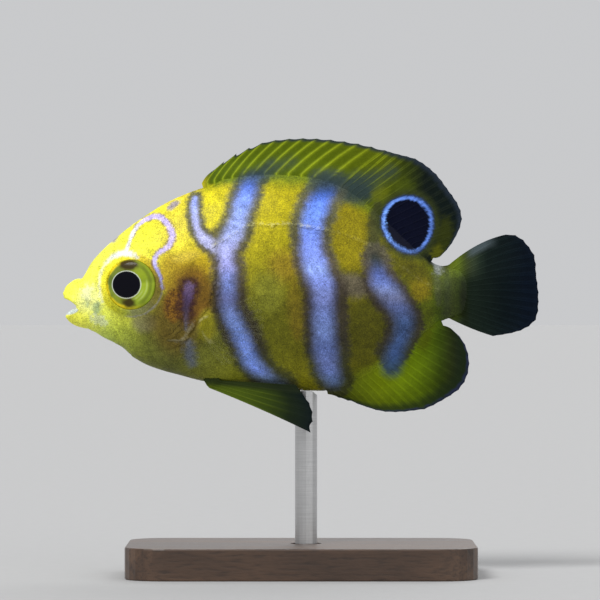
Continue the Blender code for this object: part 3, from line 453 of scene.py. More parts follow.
def curve_through(points, steps=8):
    """Points along the smooth curve through some points of any dimension."""
    ends = [points[0], *points, points[-1]]
    found = []
    for p0, p1, p2, p3 in zip(ends, ends[1:], ends[2:], ends[3:]):
        for k in range(steps):
            t = k / steps
            found.append(tuple(
                0.5 * (2 * b + (c - a) * t + (2 * a - 5 * b + 4 * c - d) * t * t
                       + (3 * b - a - 3 * c + d) * t ** 3)
                for a, b, c, d in zip(p0, p1, p2, p3)
            ))
    return np.array([*found, tuple(points[-1])], float)


def along_curve(line, count):
    """count points at even steps of length along a line of points."""
    lengths = np.concatenate([[0], np.cumsum(np.linalg.norm(np.diff(line, axis=0), axis=1))])
    want = np.linspace(0, lengths[-1], count)
    return np.stack([np.interp(want, lengths, line[:, k]) for k in range(line.shape[1])], 1)


def spaced(points, count):
    return along_curve(curve_through(points), count)


TABLE_X = np.linspace(FRONT, REAR, 1200)
TABLE_TOP = np.array([smooth(BACK, x) for x in TABLE_X])
TABLE_BOTTOM = np.array([smooth(BELLY, x) for x in TABLE_X])
TABLE_WIDTH = np.array([smooth(HALF_WIDTH, x) for x in TABLE_X])


def sizes_at(x):
    """The body's top, bottom and half width at x."""
    return [np.interp(x, TABLE_X, table) for table in (TABLE_TOP, TABLE_BOTTOM, TABLE_WIDTH)]


def half_width_at(x, z):
    top, bottom, width = sizes_at(x)
    rise = np.clip((2 * z - top - bottom) / (top - bottom), -1, 1)
    keenness = np.where(rise > 0, BACK_KEENNESS, BELLY_KEENNESS)
    return width * (1 - rise * rise) ** (keenness / 2)


def to_photo(p):
    """The photograph's column and row for points of the model."""
    return p[:, 0] / PIXEL + PHOTO_MIDDLE, PHOTO_FLOOR - p[:, 2] / PIXEL


def in_photo(points):
    """(column, row, 0) for a few (x, z) points of the side view."""
    return [(x / PIXEL + PHOTO_MIDDLE, PHOTO_FLOOR - z / PIXEL, 0.0) for x, z in points]


def noise(p, size, seed=0):
    """Smooth noise from -1 to 1 at points p, with lumps of about size."""
    q = p / size + 1000.0
    cell = np.floor(q).astype(np.int64)
    t = q - cell
    t = t * t * (3 - 2 * t)
    total = np.zeros(len(p))
    for corner in itertools.product((0, 1), repeat=3):
        x, y, z = (cell + corner).T
        mixed = x * HASH[0] ^ y * HASH[1] ^ z * HASH[2] ^ (seed * SEED_STEP)
        mixed = (mixed ^ (mixed >> 13)) * HASH_MIX & 0xFFFFFFFF
        value = ((mixed ^ (mixed >> 16)) & 0xFFFF) / 65535.0
        total += value * np.prod(np.where(np.array(corner) > 0, t, 1 - t), axis=1)
    return total * 2 - 1


def stroke(u, v, points):
    """How far (u, v) lies outside a stroke through (x, y, half width) points."""
    line = curve_through(points, 3)
    best = np.full(u.shape, 1e9)
    for (x0, y0, w0), (x1, y1, w1) in zip(line, line[1:]):
        dx, dy = x1 - x0, y1 - y0
        t = np.clip(((u - x0) * dx + (v - y0) * dy) / (dx * dx + dy * dy), 0, 1)
        best = np.minimum(best, np.hypot(u - x0 - t * dx, v - y0 - t * dy) - (w0 + (w1 - w0) * t))
    return best


def oval(u, v, x, y, across, up, lean=0.0, narrowing=0.0):
    """How far (u, v) lies outside an ellipse, or an egg with a narrower foot."""
    a, b = u - x, v - y
    c, s = math.cos(math.radians(lean)), math.sin(math.radians(lean))
    a, b = a * c + b * s, b * c - a * s
    wide = across * (1 - narrowing * np.clip(b / up, -1, 1))
    far = np.hypot(a, b) + 1e-6
    return far - far / (np.hypot(a / wide, b / up) + 1e-9)


def step(value, low, high):
    """0 below low, 1 above high, and smooth between. high may be the lower one."""
    t = np.clip((value - low) / (high - low), 0, 1)
    return t * t * (3 - 2 * t)


def mix(a, b, share):
    a = np.asarray(a)
    return a + (np.array(b) - a) * share[:, None]


def ramp(value, stops):
    """A colour for each value, from (value, colour) stops."""
    at = [s[0] for s in stops]
    return np.stack([np.interp(value, at, [s[1][k] for s in stops]) for k in range(3)], 1)


def side_of_gill(u, v):
    """How far (u, v) lies behind the gill opening, below 0 in front of it."""
    line = in_photo(GILL_OPENING)
    d = stroke(u, v, line)
    turn = line[GILL_SLOPE_START][1]
    rear = line[:GILL_SLOPE_START + 1]
    under = line[:GILL_SLOPE_START - 1:-1]
    behind = (u > np.interp(v, [p[1] for p in rear], [p[0] for p in rear])) & (v < turn)
    below = (v >= turn) & (v > np.interp(u, [p[0] for p in under], [p[1] for p in under]))
    return np.where(behind | below, d, -d)


def patches(colour, u, v, rough, rows):
    """Lays soft-edged ovals over a colour."""
    for x, y, wide, tall, lean, outer, inner, uneven, most, tint in rows:
        d = oval(u, v, x, y, wide, tall, lean) + rough * uneven
        colour = mix(colour, tint, step(d, outer, inner) * most)
    return colour


def soft_ovals(colour, u, v, rough, rows):
    """Lays ovals that are as soft inside their outline as outside it."""
    for x, y, wide, tall, lean, soft, most, tint in rows:
        d = oval(u, v, x, y, wide, tall, lean) + rough
        colour = mix(colour, tint, step(d, soft, -soft) * most)
    return colour


def streaks(colour, u, v, rough, rows):
    """Lays soft-edged strokes over a colour."""
    for line, outer, inner, uneven, most, tint in rows:
        d = stroke(u, v, line) + rough * uneven
        colour = mix(colour, tint, step(d, outer, inner) * most)
    return colour


def ground(u, v, p, ray):
    """The yellow of head and back, olive rearwards and below, darker below partly as painted shade, and
    the fins' own tones.
    """
    middle, reach = np.interp(u, *GROUND_MIDDLE), np.interp(u, *GROUND_REACH)
    share = step(v + noise(p, 1.1, 3) * 6, middle - reach, middle + reach)
    # Darker towards the bottom: partly the fish's own olive, partly painted shade.
    colour = mix(ramp(u, TOP_TONES), ramp(u, LOW_TONES), share)
    top, bottom, _ = sizes_at(p[:, 0])
    wander = noise(p, 0.3, 13) * 0.12
    above, below = p[:, 2] - top + wander, bottom - p[:, 2] + wander
    dorsal = mix(ramp(u, DORSAL_WEB), ramp(u, DORSAL_RAY), ray)
    start = np.interp(u, *DORSAL_START)
    share = step((above - start) / (DORSAL_FULL - start), 0, 1)
    share = share * step(above - (u - DORSAL_END) / 60, -0.6, 0) * step(u, *DORSAL_FROM)
    colour = mix(colour, dorsal, share)
    anal = ramp(u, ANAL_WEB) * (1 + 0.35 * ray)[:, None]
    return mix(colour, anal, step(below, -1.2, 0.6) * step(u, *ANAL_FROM))


def cheek_marks(colour, u, v, p, rough):
    """The brown cheek with its lavender bar, dotted patch and pale arcs."""
    colour = soft_ovals(colour, u, v, rough, CHEEK_PATCHES)
    dots = step(oval(u, v, *CHEEK_DOTS) + rough, 4, -3)
    colour = mix(colour, CHEEK_DOT_GOLD, dots * 0.75)
    colour = mix(colour, CHEEK_DOT_BROWN, dots * step(noise(p, 0.06, 4), -0.02, 0.22) * 0.8)
    d = stroke(u, v, CHEEK_BAR) + rough * 0.7
    dark = step(d, 9, 2.5) * step(v, *CHEEK_BAR_TO) * step(v, *CHEEK_BAR_FROM)
    colour = mix(colour, CHEEK_BAR_DARK, dark * (0.9 - 0.3 * np.clip(rough, -1, 1)))
    colour = mix(colour, ramp(v, CHEEK_BAR_TONES), step(d, 1.5, -2.2))
    return streaks(colour, u, v, rough, CHEEK_STREAKS)


def flank_marks(colour, u, v, rough, ray):
    """Clouds of brown, green and gold between the bars, and the dusk of the tail."""
    colour = soft_ovals(colour, u, v, rough * FLANK_UNEVENNESS, FLANK_PATCHES)
    tail = mix(ramp(u, TAIL_UPPER), ramp(u, TAIL_LOWER), step(v, *TAIL_LOWER_FROM))
    tail = tail * (0.9 + 0.4 * ray)[:, None]
    edge = np.interp(u, *TAIL_TOP)
    above_anal = np.maximum(step(v, *OVER_ANAL), step(u, *BEHIND_ANAL))
    share = step(u + rough, *TAIL_FROM) * step(v, edge - 6, edge + 4) * above_anal
    dusk = step(v, *DUSK_DOWN) * step(u, *DUSK_FROM) * step(u, *DUSK_TO) * above_anal
    return mix(colour, tail, share) * (1 - DUSK * dusk)[:, None]


def bars(colour, u, v, p, rough, ray):
    """The pale blue bars, fading into soft, dotted dark borders."""
    third, second, first = (stroke(u, v, bar) + rough * 0.9 for bar in (BAR_3, BAR_2, BAR_1))
    arm = stroke(u, v, BAR_1_LEFT) + rough * 0.6
    shift = np.interp(v, *BORDER_SHIFT)
    shaded = [stroke(u - shift, v, bar) for bar in (BAR_1, BAR_2)]
    shaded[0] *= np.interp(v, *BORDER_NARROWING)
    fading = third * 1.25 + 16 * step(v, *BAR_3_BORDER_TO)
    nearest = np.minimum.reduce([*shaded, fading, arm * 1.8]) + rough * 0.9
    reach = np.interp(v, *BORDER_REACH) + noise(p, 0.9, 9) * 1.5
    border = step(nearest, reach + 4, reach - 4) * step(v, *BORDER_FROM)
    dotted = np.clip(border * 1.05 + noise(p, 0.1, 10) * border * (1.15 - border) * 1.6, 0, 1)
    colour = mix(colour, ramp(v, BORDER_TONES), dotted * 0.93)
    softer = np.interp(v, *BAR_SOFTNESS)
    grain = (1 + 0.16 * noise(p, 0.1, 5) + 0.1 * noise(p, 0.3, 6))[:, None]
    for d, tones in ((third, BAR_3_TONES), (second, BAR_2_TONES), (first, BAR_1_TONES)):
        share = step(d, 5.5 + softer * 0.5, -6.5 - softer)
        colour = mix(colour, ramp(v, tones) * grain, share)
    colour = mix(colour, ramp(v, ARM_TONES) * grain, step(arm, 2.4, -2.2) * step(u, *ARM_TO))
    for smear, most in ((FIN_SMEAR, 0.8), (BAR_1_FIN_SMEAR, 0.7)):
        share = step(stroke(u, v, smear) + noise(p, 0.5, 15) * 2, 10, -8) * (most - 0.4 * ray)
        colour = mix(colour, SLATE, share)
    return colour


def head_lines(colour, u, v, p, rough):
    """The pale loop over the brow, a white line before and over the eye that is a painted highlight,
    and two grey smudges.
    """
    loop = stroke(u, v, BROW_LOOP) + rough * 0.3
    edge = step(loop, 2.2, 0.6) * step(noise(p, 0.11, 7), -0.35, 0.15)
    colour = mix(colour, LOOP_EDGE, edge * step(u, *LOOP_EDGE_FROM) * 0.85)
    white = step(u, *LOOP_WHITE_TO) * step(v, *LOOP_WHITE_DOWN)
    tone = mix(ramp(v, LOOP_TONES), LOOP_WHITE, white)
    colour = mix(colour, tone, step(loop, 0.6, -1.1))
    # Painted highlight: a white line before the eye, broadening over it.
    brow = step(stroke(u, v, BROW_HIGHLIGHT_LINE) + rough * 0.9, 2.4, -1.4)
    colour = mix(colour, BROW_HIGHLIGHT, brow * np.interp(v, *BROW_HIGHLIGHT_STRENGTH))
    return patches(colour, u, v, rough, BROW_SMUDGES)


def orbit(colour, u, v, rough):
    """The lid round the eye: yellow before and above, olive behind and below."""
    r = np.hypot(u - IRIS[0] - 1, v - IRIS[1])
    angle = np.degrees(np.arctan2(v - IRIS[1], u - IRIS[0]))
    colour = mix(colour, ramp(angle, ORBIT_TONES), step(r + rough * 0.6, *LID_EDGE))
    rim = step(np.abs(r - LID_RIM) + rough * 0.3, 1.4, 0.3)
    rim = rim * step(angle, *LID_RIM_FROM) * step(angle, *LID_RIM_TO)
    return mix(colour, LID_GREY, rim * 0.5)


def spot_on_fin(colour, u, v, rough):
    """The eye-spot: black in a soft blue ring, set off by a dusky halo."""
    x, y, across, up = EYE_SPOT
    d = oval(u, v, x, y, across, up, EYE_SPOT_LEAN, EYE_SPOT_NARROWING) + rough * 0.5
    colour = mix(colour, EYE_SPOT_HALO, step(d, 15, 7) * 0.8)
    side = np.clip((u - x) / 30 - (v - y) / 60, -1, 1)
    blue = mix(EYE_SPOT_BLUE, EYE_SPOT_SIDE_BLUE, step(side, -0.4, 0.6))
    blue = mix(blue, EYE_SPOT_FOOT, step(v, y + 14, y + 26) * 0.7)
    colour = mix(colour, EYE_SPOT_NAVY, step(d, 7.4, 4.6) * 0.9)
    ring = step(d, 5.3, 3.9) * step(d, 0.5, 2.0)
    colour = mix(colour, blue * (1 + 0.3 * rough)[:, None], ring)
    return mix(colour, EYE_SPOT_BLACK, step(d, 2.0, 0.4))


def lateral_line(colour, u, v):
    """A fine pale line with a shadow under it, fading rearwards."""
    shown = step(u, *LATERAL_LINE_TO) * 0.42 + 0.08
    colour = mix(colour, LINE_PALE, step(stroke(u, v, LATERAL_LINE), 0.95, 0.1) * shown)
    under = stroke(u, v - 2.4, LATERAL_LINE)
    return mix(colour, LINE_DARK, step(under, 1.3, 0.3) * shown * 0.6)


def marks(p, ray=None):
    """The whole pattern as linear colours, with some painted highlights and shade among it, and with
    its brighter fin rays where they are given.
    """
    u, v = to_photo(p)
    if ray is None:
        ray = np.full(len(p), 0.4)
    rough = noise(p, 0.16, 1) * 1.3 + noise(p, 0.07, 2) * 0.9
    # The snout's patches, a painted highlight among them.
    colour = patches(ground(u, v, p, ray), u, v, rough, SNOUT_PATCHES_AND_HIGHLIGHT)
    colour = cheek_marks(colour, u, v, p, rough)
    colour = flank_marks(colour, u, v, rough, ray)
    colour = bars(colour, u, v, p, rough, ray)
    colour = orbit(colour, u, v, rough)
    colour = head_lines(colour, u, v, p, rough)
    colour = lateral_line(colour, u, v)
    colour = spot_on_fin(colour, u, v, rough)
    return colour * (1 + 0.11 * noise(p, 0.12, 8) + 0.05 * noise(p, 1.1, 3))[:, None]


def body_marks(p):
    """The pattern on the body itself, lighter underneath, where less light falls."""
    top, bottom, _ = sizes_at(p[:, 0])
    low = (top + bottom - 2 * p[:, 2]) / (top - bottom)
    gain = 1.2 * step(p[:, 0], *GAIN_FROM) * (1 - 0.6 * step(p[:, 0], *GAIN_TO))
    return marks(p) * (1 + gain * step(low, 0.55, 1.05))[:, None]


def dorsal_paint(p, t, ray):
    edge = step(t + noise(p, 0.2, 11) * 0.012, 0.91, 0.985)
    return mix(marks(p, ray), MARGIN, edge * 0.9)


def anal_paint(p, t, ray):
    """Dusky and greenish towards its edge, with a thin blue-violet rim."""
    rough = noise(p, 0.25, 12) * 0.015
    colour = marks(p, ray) * (1 - 0.4 * step(t, 0.45, 0.8))[:, None]
    colour = mix(colour, ANAL_DUSK, step(t + rough, 0.76, 0.92) * 0.8)
    return mix(colour, ANAL_RIM, step(t + rough, 0.95, 0.99) * 0.8)


def tail_paint(p, t, ray):
    """Nearly black, with a faint grey streak along its upper edge."""
    u, v = to_photo(p)
    streak = step(v - np.interp(u, *TAIL_STREAK), 9, 2)
    streak = streak * step(u, *TAIL_STREAK_FROM) * step(u, *TAIL_STREAK_TO)
    colour = mix(marks(p, ray), TAIL_STREAK_GREY, streak * 0.8)
    return mix(colour, TAIL_RIM, step(t, 0.95, 1.0) * 0.7)


def pelvic_paint(p, t, ray):
    """Olive, with light green along its front edge, black behind, and a painted shadow of the belly
    along its upper edge.
    """
    u, v = to_photo(p)
    colour = mix(ramp(t, PELVIC_WEB), PELVIC_RAY, ray * 0.6 * step(t, 0.85, 0.3))
    # Painted shadow: the belly's shade on the fin just below it.
    upper = step(v - np.interp(u, *PELVIC_UPPER_EDGE), 6, 1)
    colour = mix(colour, PELVIC_SHADOW, upper * 0.8)
    front = step(np.interp(u, *PELVIC_FRONT_EDGE) - v + noise(p, 0.25, 14) * 2, 5, 0)
    return mix(colour, PELVIC_GREEN, front * step(t, 0.65, 0.3) * 0.5)


def pectoral_paint(p, t, ray):
    """Clear, with a greenish yellow root."""
    return mix(PECTORAL_CLEAR, PECTORAL_YELLOW, step(t, 0.6, 0.3))


def eye_paint(p):
    """A black pupil in a fine white ring, a green iris smudged above and below, with painted highlights
    of glare on it.
    """
    u, v = to_photo(p)
    a, b = u - PUPIL[0], v - PUPIL[1]
    angle = np.degrees(np.arctan2(b, a))
    pupil = np.hypot(a / PUPIL_RADII[0], b / PUPIL_RADII[1]) * PUPIL_RADII[0]
    iris = np.hypot(u - IRIS[0], v - IRIS[1])
    fibres = noise(np.stack([angle / 12, iris * 0.03, 0 * a], 1), 1.0, 21)
    colour = ramp(angle, IRIS_TONES) * (1 + 0.2 * fibres)[:, None]
    # Painted highlight: pale arcs of glare on the iris, below and behind the pupil.
    for radius, start, end in IRIS_GLINT_ARCS:
        arc = step(np.abs(pupil - radius), 1.4, 0.3) * step(angle, start, start + 20)
        colour = mix(colour, IRIS_GLINT, arc * step(angle, end, end - 20) * 0.35)
    ring = step(np.abs(pupil - 24), 3, 0.5) * step(np.abs(angle), 70, 40)
    colour = mix(colour, IRIS_RING, ring * 0.6)
    front = step(np.abs(np.abs(angle + 10) - 180), 130, 60)
    colour = mix(colour, IRIS_GOLD, step(iris + fibres, 20.5, 23.5) * front)
    colour = patches(colour, u, v, noise(p, 0.2, 22), IRIS_SMUDGES)
    colour = mix(colour, PUPIL_RING, step(np.abs(pupil - 14.4), 0.6, 0.1) * 0.75)
    return mix(colour, PUPIL_BLACK, step(pupil, 14.2, 13.8))


def welt(distance, height, middle, width):
    """A rounded ridge, or a groove where its height is below 0."""
    return height * np.exp(-((distance - middle) / width) ** 2)


def relief(p):
    """How far the skin stands out, in millimetres: lids, lips, gill cover and folds."""
    u, v = to_photo(p)
    x, z = EYE_CENTRE
    r = np.hypot(p[:, 0] - x, p[:, 2] - z)
    out = welt(r, *LID) - SOCKET_DEPTH * step(r, EYE_RADIUS + 0.01, EYE_RADIUS - 0.15)
    for x, z in NOSTRILS:
        r = np.hypot(p[:, 0] - x, p[:, 2] - z)
        out += welt(r, *NOSTRIL_RIM) - NOSTRIL_DEPTH * step(r, 0.15, 0.06)
    top = in_photo(GILL_OPENING)[0][1]
    shown = step(v, top - 3, top + 18) * (1 - 0.7 * step(u, *GILL_FORWARDS))
    gill = side_of_gill(u, v) * PIXEL
    out += (np.where(gill < 0, welt(gill, *GILL_SWELL), 0) + welt(gill, *GILL_GROOVE)) * shown
    cheek = stroke(u, v, in_photo(GILL_FRONT)) * PIXEL
    crease = welt(cheek, *CHEEK_SWELL) + welt(cheek, *CHEEK_GROOVE)
    out += crease * (0.1 + 0.6 * step(v, *CHEEK_EDGE_DOWN))
    for line, *shape in LINE_WELTS:
        out += welt(stroke(u, v, line) * PIXEL, *shape)
    out += FIN_BASE_HEIGHT * step(oval(u, v, *PECTORAL_BASE) * PIXEL, 0.25, -0.5)
    return out + 0.012 * noise(p, 0.9, 31) + 0.004 * noise(p, 0.2, 32)


def object_of(name, points, faces, node_slot, *replaced):
    """A piece from points in millimetres. It rides on the model and replaces solids."""
    mesh = bpy.data.meshes.new(name)
    mesh.from_pydata(np.asarray(points) * METRES, [], faces)
    mesh.validate()
    mesh.shade_smooth()
    made = bpy.data.objects.new(name, mesh)
    bpy.context.scene.collection.objects.link(made)
    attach(made, "root")
    if replaced:
        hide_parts(*replaced)
    return made


def paint(obj, colours, opacity=None):
    """Stores a colour, and how opaque it is, for each point of a piece."""
    layer = obj.data.color_attributes.new("paint", "FLOAT_COLOR", "POINT")
    alpha = np.ones(len(colours)) if opacity is None else opacity
    layer.data.foreach_set("color", np.column_stack([np.clip(colours, 0.001, 0.98), alpha]).ravel())


def base_rise(x, base):
    """How high a fin's fleshy base stands at x."""
    front, rear, height = base
    return height * step(x, front - 0.1, front + BASE_FADE) * step(x, rear + 0.2, rear - BASE_FADE)


def section(x, angles):
    """The y and z of the body's surface at x, by the angle from the left flank's middle."""
    top, bottom, width = sizes_at(x)
    across, up = np.cos(angles), np.sin(angles)
    keenness = np.where(up > 0, BACK_KEENNESS, BELLY_KEENNESS)
    y = np.sign(across) * np.abs(across) ** keenness * width
    swell = np.exp(-((y / FIN_BASE_WIDTH) ** 2))
    rise = np.where(up > 0, base_rise(x, DORSAL_BASE), -base_rise(x, ANAL_BASE))
    return y, (top + bottom) / 2 + up * (top - bottom) / 2 + swell * rise


def tube_faces(rows, around):
    """Faces of a closed tube made of rings of points, row after row."""
    faces = []
    for r in range(rows - 1):
        near, far = r * around, (r + 1) * around
        for k in range(around):
            j = (k + 1) % around
            faces.append((near + k, far + k, far + j, near + j))
    last = (rows - 1) * around
    return [*faces, tuple(range(around)), tuple(range(last + around - 1, last - 1, -1))]


def profile_body():
    """The body's closed surface without relief, as points and faces in millimetres."""
    stations = FRONT + (REAR - FRONT) * np.linspace(0, 1, BODY_STATIONS) ** STATION_CROWDING
    angles = np.linspace(0, 2 * math.pi, BODY_ANGLES, endpoint=False)
    points = []
    for x in stations:
        y, z = section(x, angles)
        points.append(np.stack([np.full_like(y, x), y, z], 1))
    return np.concatenate(points), tube_faces(BODY_STATIONS, BODY_ANGLES)


def prism(outline, half_depth):
    """A flat outline of the side view as a solid across the body."""
    n = len(outline)
    points = [(x, y, z) for y in (-half_depth, half_depth) for x, z in outline]
    faces = [tuple(range(n)), tuple(range(2 * n - 1, n - 1, -1))]
    faces += [(k, n + k, n + (k + 1) % n, (k + 1) % n) for k in range(n)]
    return points, faces


def face_outwards(mesh, in_triangles=False):
    shape = bmesh.new()
    shape.from_mesh(mesh)
    bmesh.ops.recalc_face_normals(shape, faces=shape.faces)
    if in_triangles:
        bmesh.ops.triangulate(shape, faces=shape.faces)
    shape.to_mesh(mesh)
    shape.free()


def scratch_object(points, faces):
    mesh = bpy.data.meshes.new("scratch")
    mesh.from_pydata(points, [], faces)
    face_outwards(mesh, in_triangles=True)
    made = bpy.data.objects.new("scratch", mesh)
    bpy.context.scene.collection.objects.link(made)
    return made


def triples(items, name):
    """A named vector of every item of a mesh, as an array."""
    values = np.empty(len(items) * 3)
    items.foreach_get(name, values)
    return values.reshape(-1, 3)


def relaxed(mesh, points, rounds):
    """The points after a few rounds of moving each towards its neighbours."""
    edges = np.empty(len(mesh.edges) * 2, np.int64)
    mesh.edges.foreach_get("vertices", edges)
    a, b = edges.reshape(-1, 2).T
    counts = np.bincount(np.concatenate([a, b]), minlength=len(points))[:, None]
    for _ in range(rounds):
        total = np.zeros_like(points)
        np.add.at(total, a, points[b])
        np.add.at(total, b, points[a])
        points = points * 0.4 + total / counts * 0.6
    return points


MOUTH_HALF_WIDTH = 4.0


def skin():
    """One skin for the whole body, with the open mouth and the relief worked in."""
    body = scratch_object(*profile_body())
    mouth = scratch_object(*prism(MOUTH, MOUTH_HALF_WIDTH))
    cut = body.modifiers.new("mouth", "BOOLEAN")
    cut.object = mouth
    cut.solver = "EXACT"
    grain = body.modifiers.new("grain", "REMESH")
    grain.mode = "VOXEL"
    grain.voxel_size = SKIN_GRAIN
    bpy.context.view_layer.update()
    finished = body.evaluated_get(bpy.context.evaluated_depsgraph_get())
    mesh = bpy.data.meshes.new_from_object(finished)
    for old in (body, mouth):
        bpy.data.objects.remove(old)
    points = relaxed(mesh, triples(mesh.vertices, "co"), 4)
    mesh.vertices.foreach_set("co", points.ravel())
    mesh.update()
    points = points + triples(mesh.vertex_normals, "vector") * relief(points)[:, None]
    faces = [tuple(f.vertices) for f in mesh.polygons]
    bpy.data.meshes.remove(mesh)
    made = object_of("skin", points, faces, "trunk", "head", "trunk", "tail_stalk", "upper_lip",
                     "lower_jaw", "gill_cover_left", "gill_cover_right")
    paint(made, body_marks(points))
    return made, points, faces


BARE_EYE = (132, 285, 34)  # its middle and radius
BARE_SNOUT, BARE_SNOUT_SPREAD = 108, 0.12


def bare(p):
    """Where the skin carries no scales that can be seen."""
    u, v = to_photo(p)
    x, y, radius = BARE_EYE
    eye = np.hypot(u - x, v - y) < radius
    snout = u < BARE_SNOUT + BARE_SNOUT_SPREAD * np.abs(v - y)
    slot = np.abs(side_of_gill(u, v)) < 2
    fin_base = oval(u, v, *PECTORAL_BASE) < 0
    in_fin = p[:, 0] > np.where(p[:, 2] > 17, DORSAL_BASE[0], ANAL_BASE[0])
    return eye | snout | slot | fin_base | (in_fin & (np.abs(p[:, 1]) < 0.2))


SCALE_PITCH = 0.36  # from scale to scale along the body
SCALE_ROW = 0.31  # from scale to scale round the body
SCALE_STEPS = 8  # points in a scale's outline besides its root
SCALE_SIZES = ([-13, -9, -5, 6, 10], [0.5, 0.62, 1.0, 0.85, 0.6])
SCALE_LENGTH, SCALE_WIDTH, SCALE_THICKNESS = 0.255, 0.215, 0.016
SCALE_FAN = 1.9  # radians to each side of the scale's rear
SCALE_SPAN, SCALE_SHIFT = (-13.2, 10.3), 0.025


def scale_spots(side, rng):
    """Places and sizes of the scales on one flank, in staggered rows along the body."""
    spots = []
    x, last = SCALE_SPAN
    column = 0
    angles = np.linspace(-math.pi / 2, math.pi / 2, 240)
    while x < last:
        y, z = section(x, angles)
        run = np.concatenate([[0], np.cumsum(np.hypot(np.diff(y), np.diff(z)))])
        size = np.interp(x, *SCALE_SIZES)
        row = SCALE_ROW * size
        rows = np.arange(0.1, run[-1] - 0.05, row) + (column % 2) * row / 2
        for s in rows[rows < run[-1]]:
            spots.append((x, side * np.interp(s, run, y), np.interp(s, run, z), size))
        x += SCALE_PITCH * size / 2
        column += 1
    spots = np.array(spots)
    spots[:, :3] += rng.uniform(-SCALE_SHIFT, SCALE_SHIFT, (len(spots), 3))
    return spots[~bare(spots[:, :3])]


def scale_faces(start):
    """Faces of one scale: a fan on each side and a rim between them."""
    ring = start + SCALE_STEPS + 1
    faces = []
    for k in range(1, SCALE_STEPS + 1):
        j = k % SCALE_STEPS + 1
        faces.append((start, start + k, start + j))
        faces.append((ring, ring + j, ring + k))
        faces.append((start + k, ring + k, ring + j, start + j))
    return faces


def scales(side, tree):
    """Thin scales laid like shingles over one flank, each a closed plate."""
    rng = np.random.default_rng(5 + side)
    word = "left" if side < 0 else "right"
    points, faces, tones, flat = [], [], [], []
    sweep = np.linspace(-SCALE_FAN, SCALE_FAN, SCALE_STEPS)
    for x, y, z, size in scale_spots(side, rng):
        near, normal, _, _ = tree.find_nearest(Vector((x, y, z)))
        if near is None:
            continue
        back = Vector((1, 0, 0)) - normal * normal.x
        if back.length < 0.3:
            continue
        back.normalize()
        across = normal.cross(back)
        size *= rng.uniform(0.92, 1.06)
        long, wide = SCALE_LENGTH * size, SCALE_WIDTH * size
        outline = [(0, 0), *((long * math.cos(a), wide * math.sin(a)) for a in sweep)]
        tone = rng.uniform(0.91, 1.09)
        faces += scale_faces(len(points))
        for drop in (0, SCALE_THICKNESS):
            for forward, beside in outline:
                centre = forward == beside == 0
                crown = 0.004 if centre and not drop else 0
                lift = 0.005 + 0.012 * size * forward / long - drop + crown
                points.append(near + back * forward + across * beside + normal * lift)
                tones.append(tone * (1.01 if centre else 0.985))
                flat.append((near.x, near.z, forward, beside))
    places = np.array([tuple(p) for p in points])
    made = object_of(f"scales_{word}", places, faces, "trunk")
    made.data.shade_flat()
    paint(made, body_marks(places) * np.array(tones)[:, None])
    unwrap(made, np.array(flat), side)
    return made


FLANK_MAP_WIDTH, FLANK_MAP_STARTS = 0.48, (0.01, 0.51)  # of the left flank and the right
MAP_BOTTOM, MAP_HEIGHT = 10.0, 17.0  # in millimetres
SCALE_SPREAD = 0.006  # of the map to a millimetre of a scale


def unwrap(obj, flat, side):
    """Gives each scale a small patch at its root's place on the flank's own map."""
    layer = obj.data.uv_layers.new(name="OFBake")
    start = FLANK_MAP_STARTS[0 if side < 0 else 1]
    root_u = (flat[:, 0] - FRONT) / (REAR - FRONT) * FLANK_MAP_WIDTH + start
    root_v = (flat[:, 1] - MAP_BOTTOM) / MAP_HEIGHT
    spread = flat[:, 2:] * SCALE_SPREAD
    places = np.column_stack([root_u, root_v]) + spread
    corners = np.empty(len(obj.data.loops), np.int64)
    obj.data.loops.foreach_get("vertex_index", corners)
    layer.uv.foreach_set("vector", places[corners].astype(np.float32).ravel())


FIN_ROWS = 36  # points along each ray
WEB_STEPS = 14  # lines of points from one ray to the next
RAY_INSET = 1.0  # how deep a ray's root lies in the body
GAP = 0.3  # between the solids of a fin and the body
WEB_NOTCH = 0.006  # how deep the edge dips between soft rays, as a share of their length


def ray_line(root, tip, bow, anchor):
    """A ray from inside the body through its root to its tip."""
    t = np.linspace(0, 1, 12)[:, None]
    line = root + (tip - root) * t + np.array(bow) * 4 * t * (1 - t)
    line = np.concatenate([(root + anchor)[None], line])
    return along_curve(line, FIN_ROWS)


def ridges(s, t, spiny):
    """The height of the ray nearest to s, from 0 to 1, with soft rays branching."""
    near = np.minimum(s, 1 - s)
    if spiny:
        return np.exp(-(near / 0.1) ** 2)
    first = 0.13 * step(t, 0.4, 0.95)
    second = 0.055 * step(t, 0.68, 1.0)
    total = np.zeros_like(near)
    for branch in (first - second, first + second):
        total = np.maximum(total, np.exp(-((near - branch) / 0.055) ** 2))
    joints = 1 + 0.12 * np.sin(t * 150) * step(t, 0.25, 0.4)
    return total * joints


def web_columns(rays, spines, spine_notches):
    """Lines of points from root to edge, with each one's place among the rays."""
    columns, places = [], []
    deepest, least = spine_notches
    for k, (near, far) in enumerate(zip(rays, rays[1:])):
        spiny = k < spines - 1
        notch = deepest + (least - deepest) * min(1.0, k / 4) if spiny else WEB_NOTCH
        for s in np.linspace(0, 1, WEB_STEPS, endpoint=k == len(rays) - 2):
            end = 1 - notch * (1 - abs(2 * s - 1) ** 1.6)
            reach = np.linspace(0, end, FIN_ROWS) * (FIN_ROWS - 1)
            line = near + (far - near) * s
            columns.append([np.interp(reach, np.arange(FIN_ROWS), line[:, i]) for i in range(3)])
            places.append((s, spiny, k + s))
    return np.array(columns).transpose(0, 2, 1), places


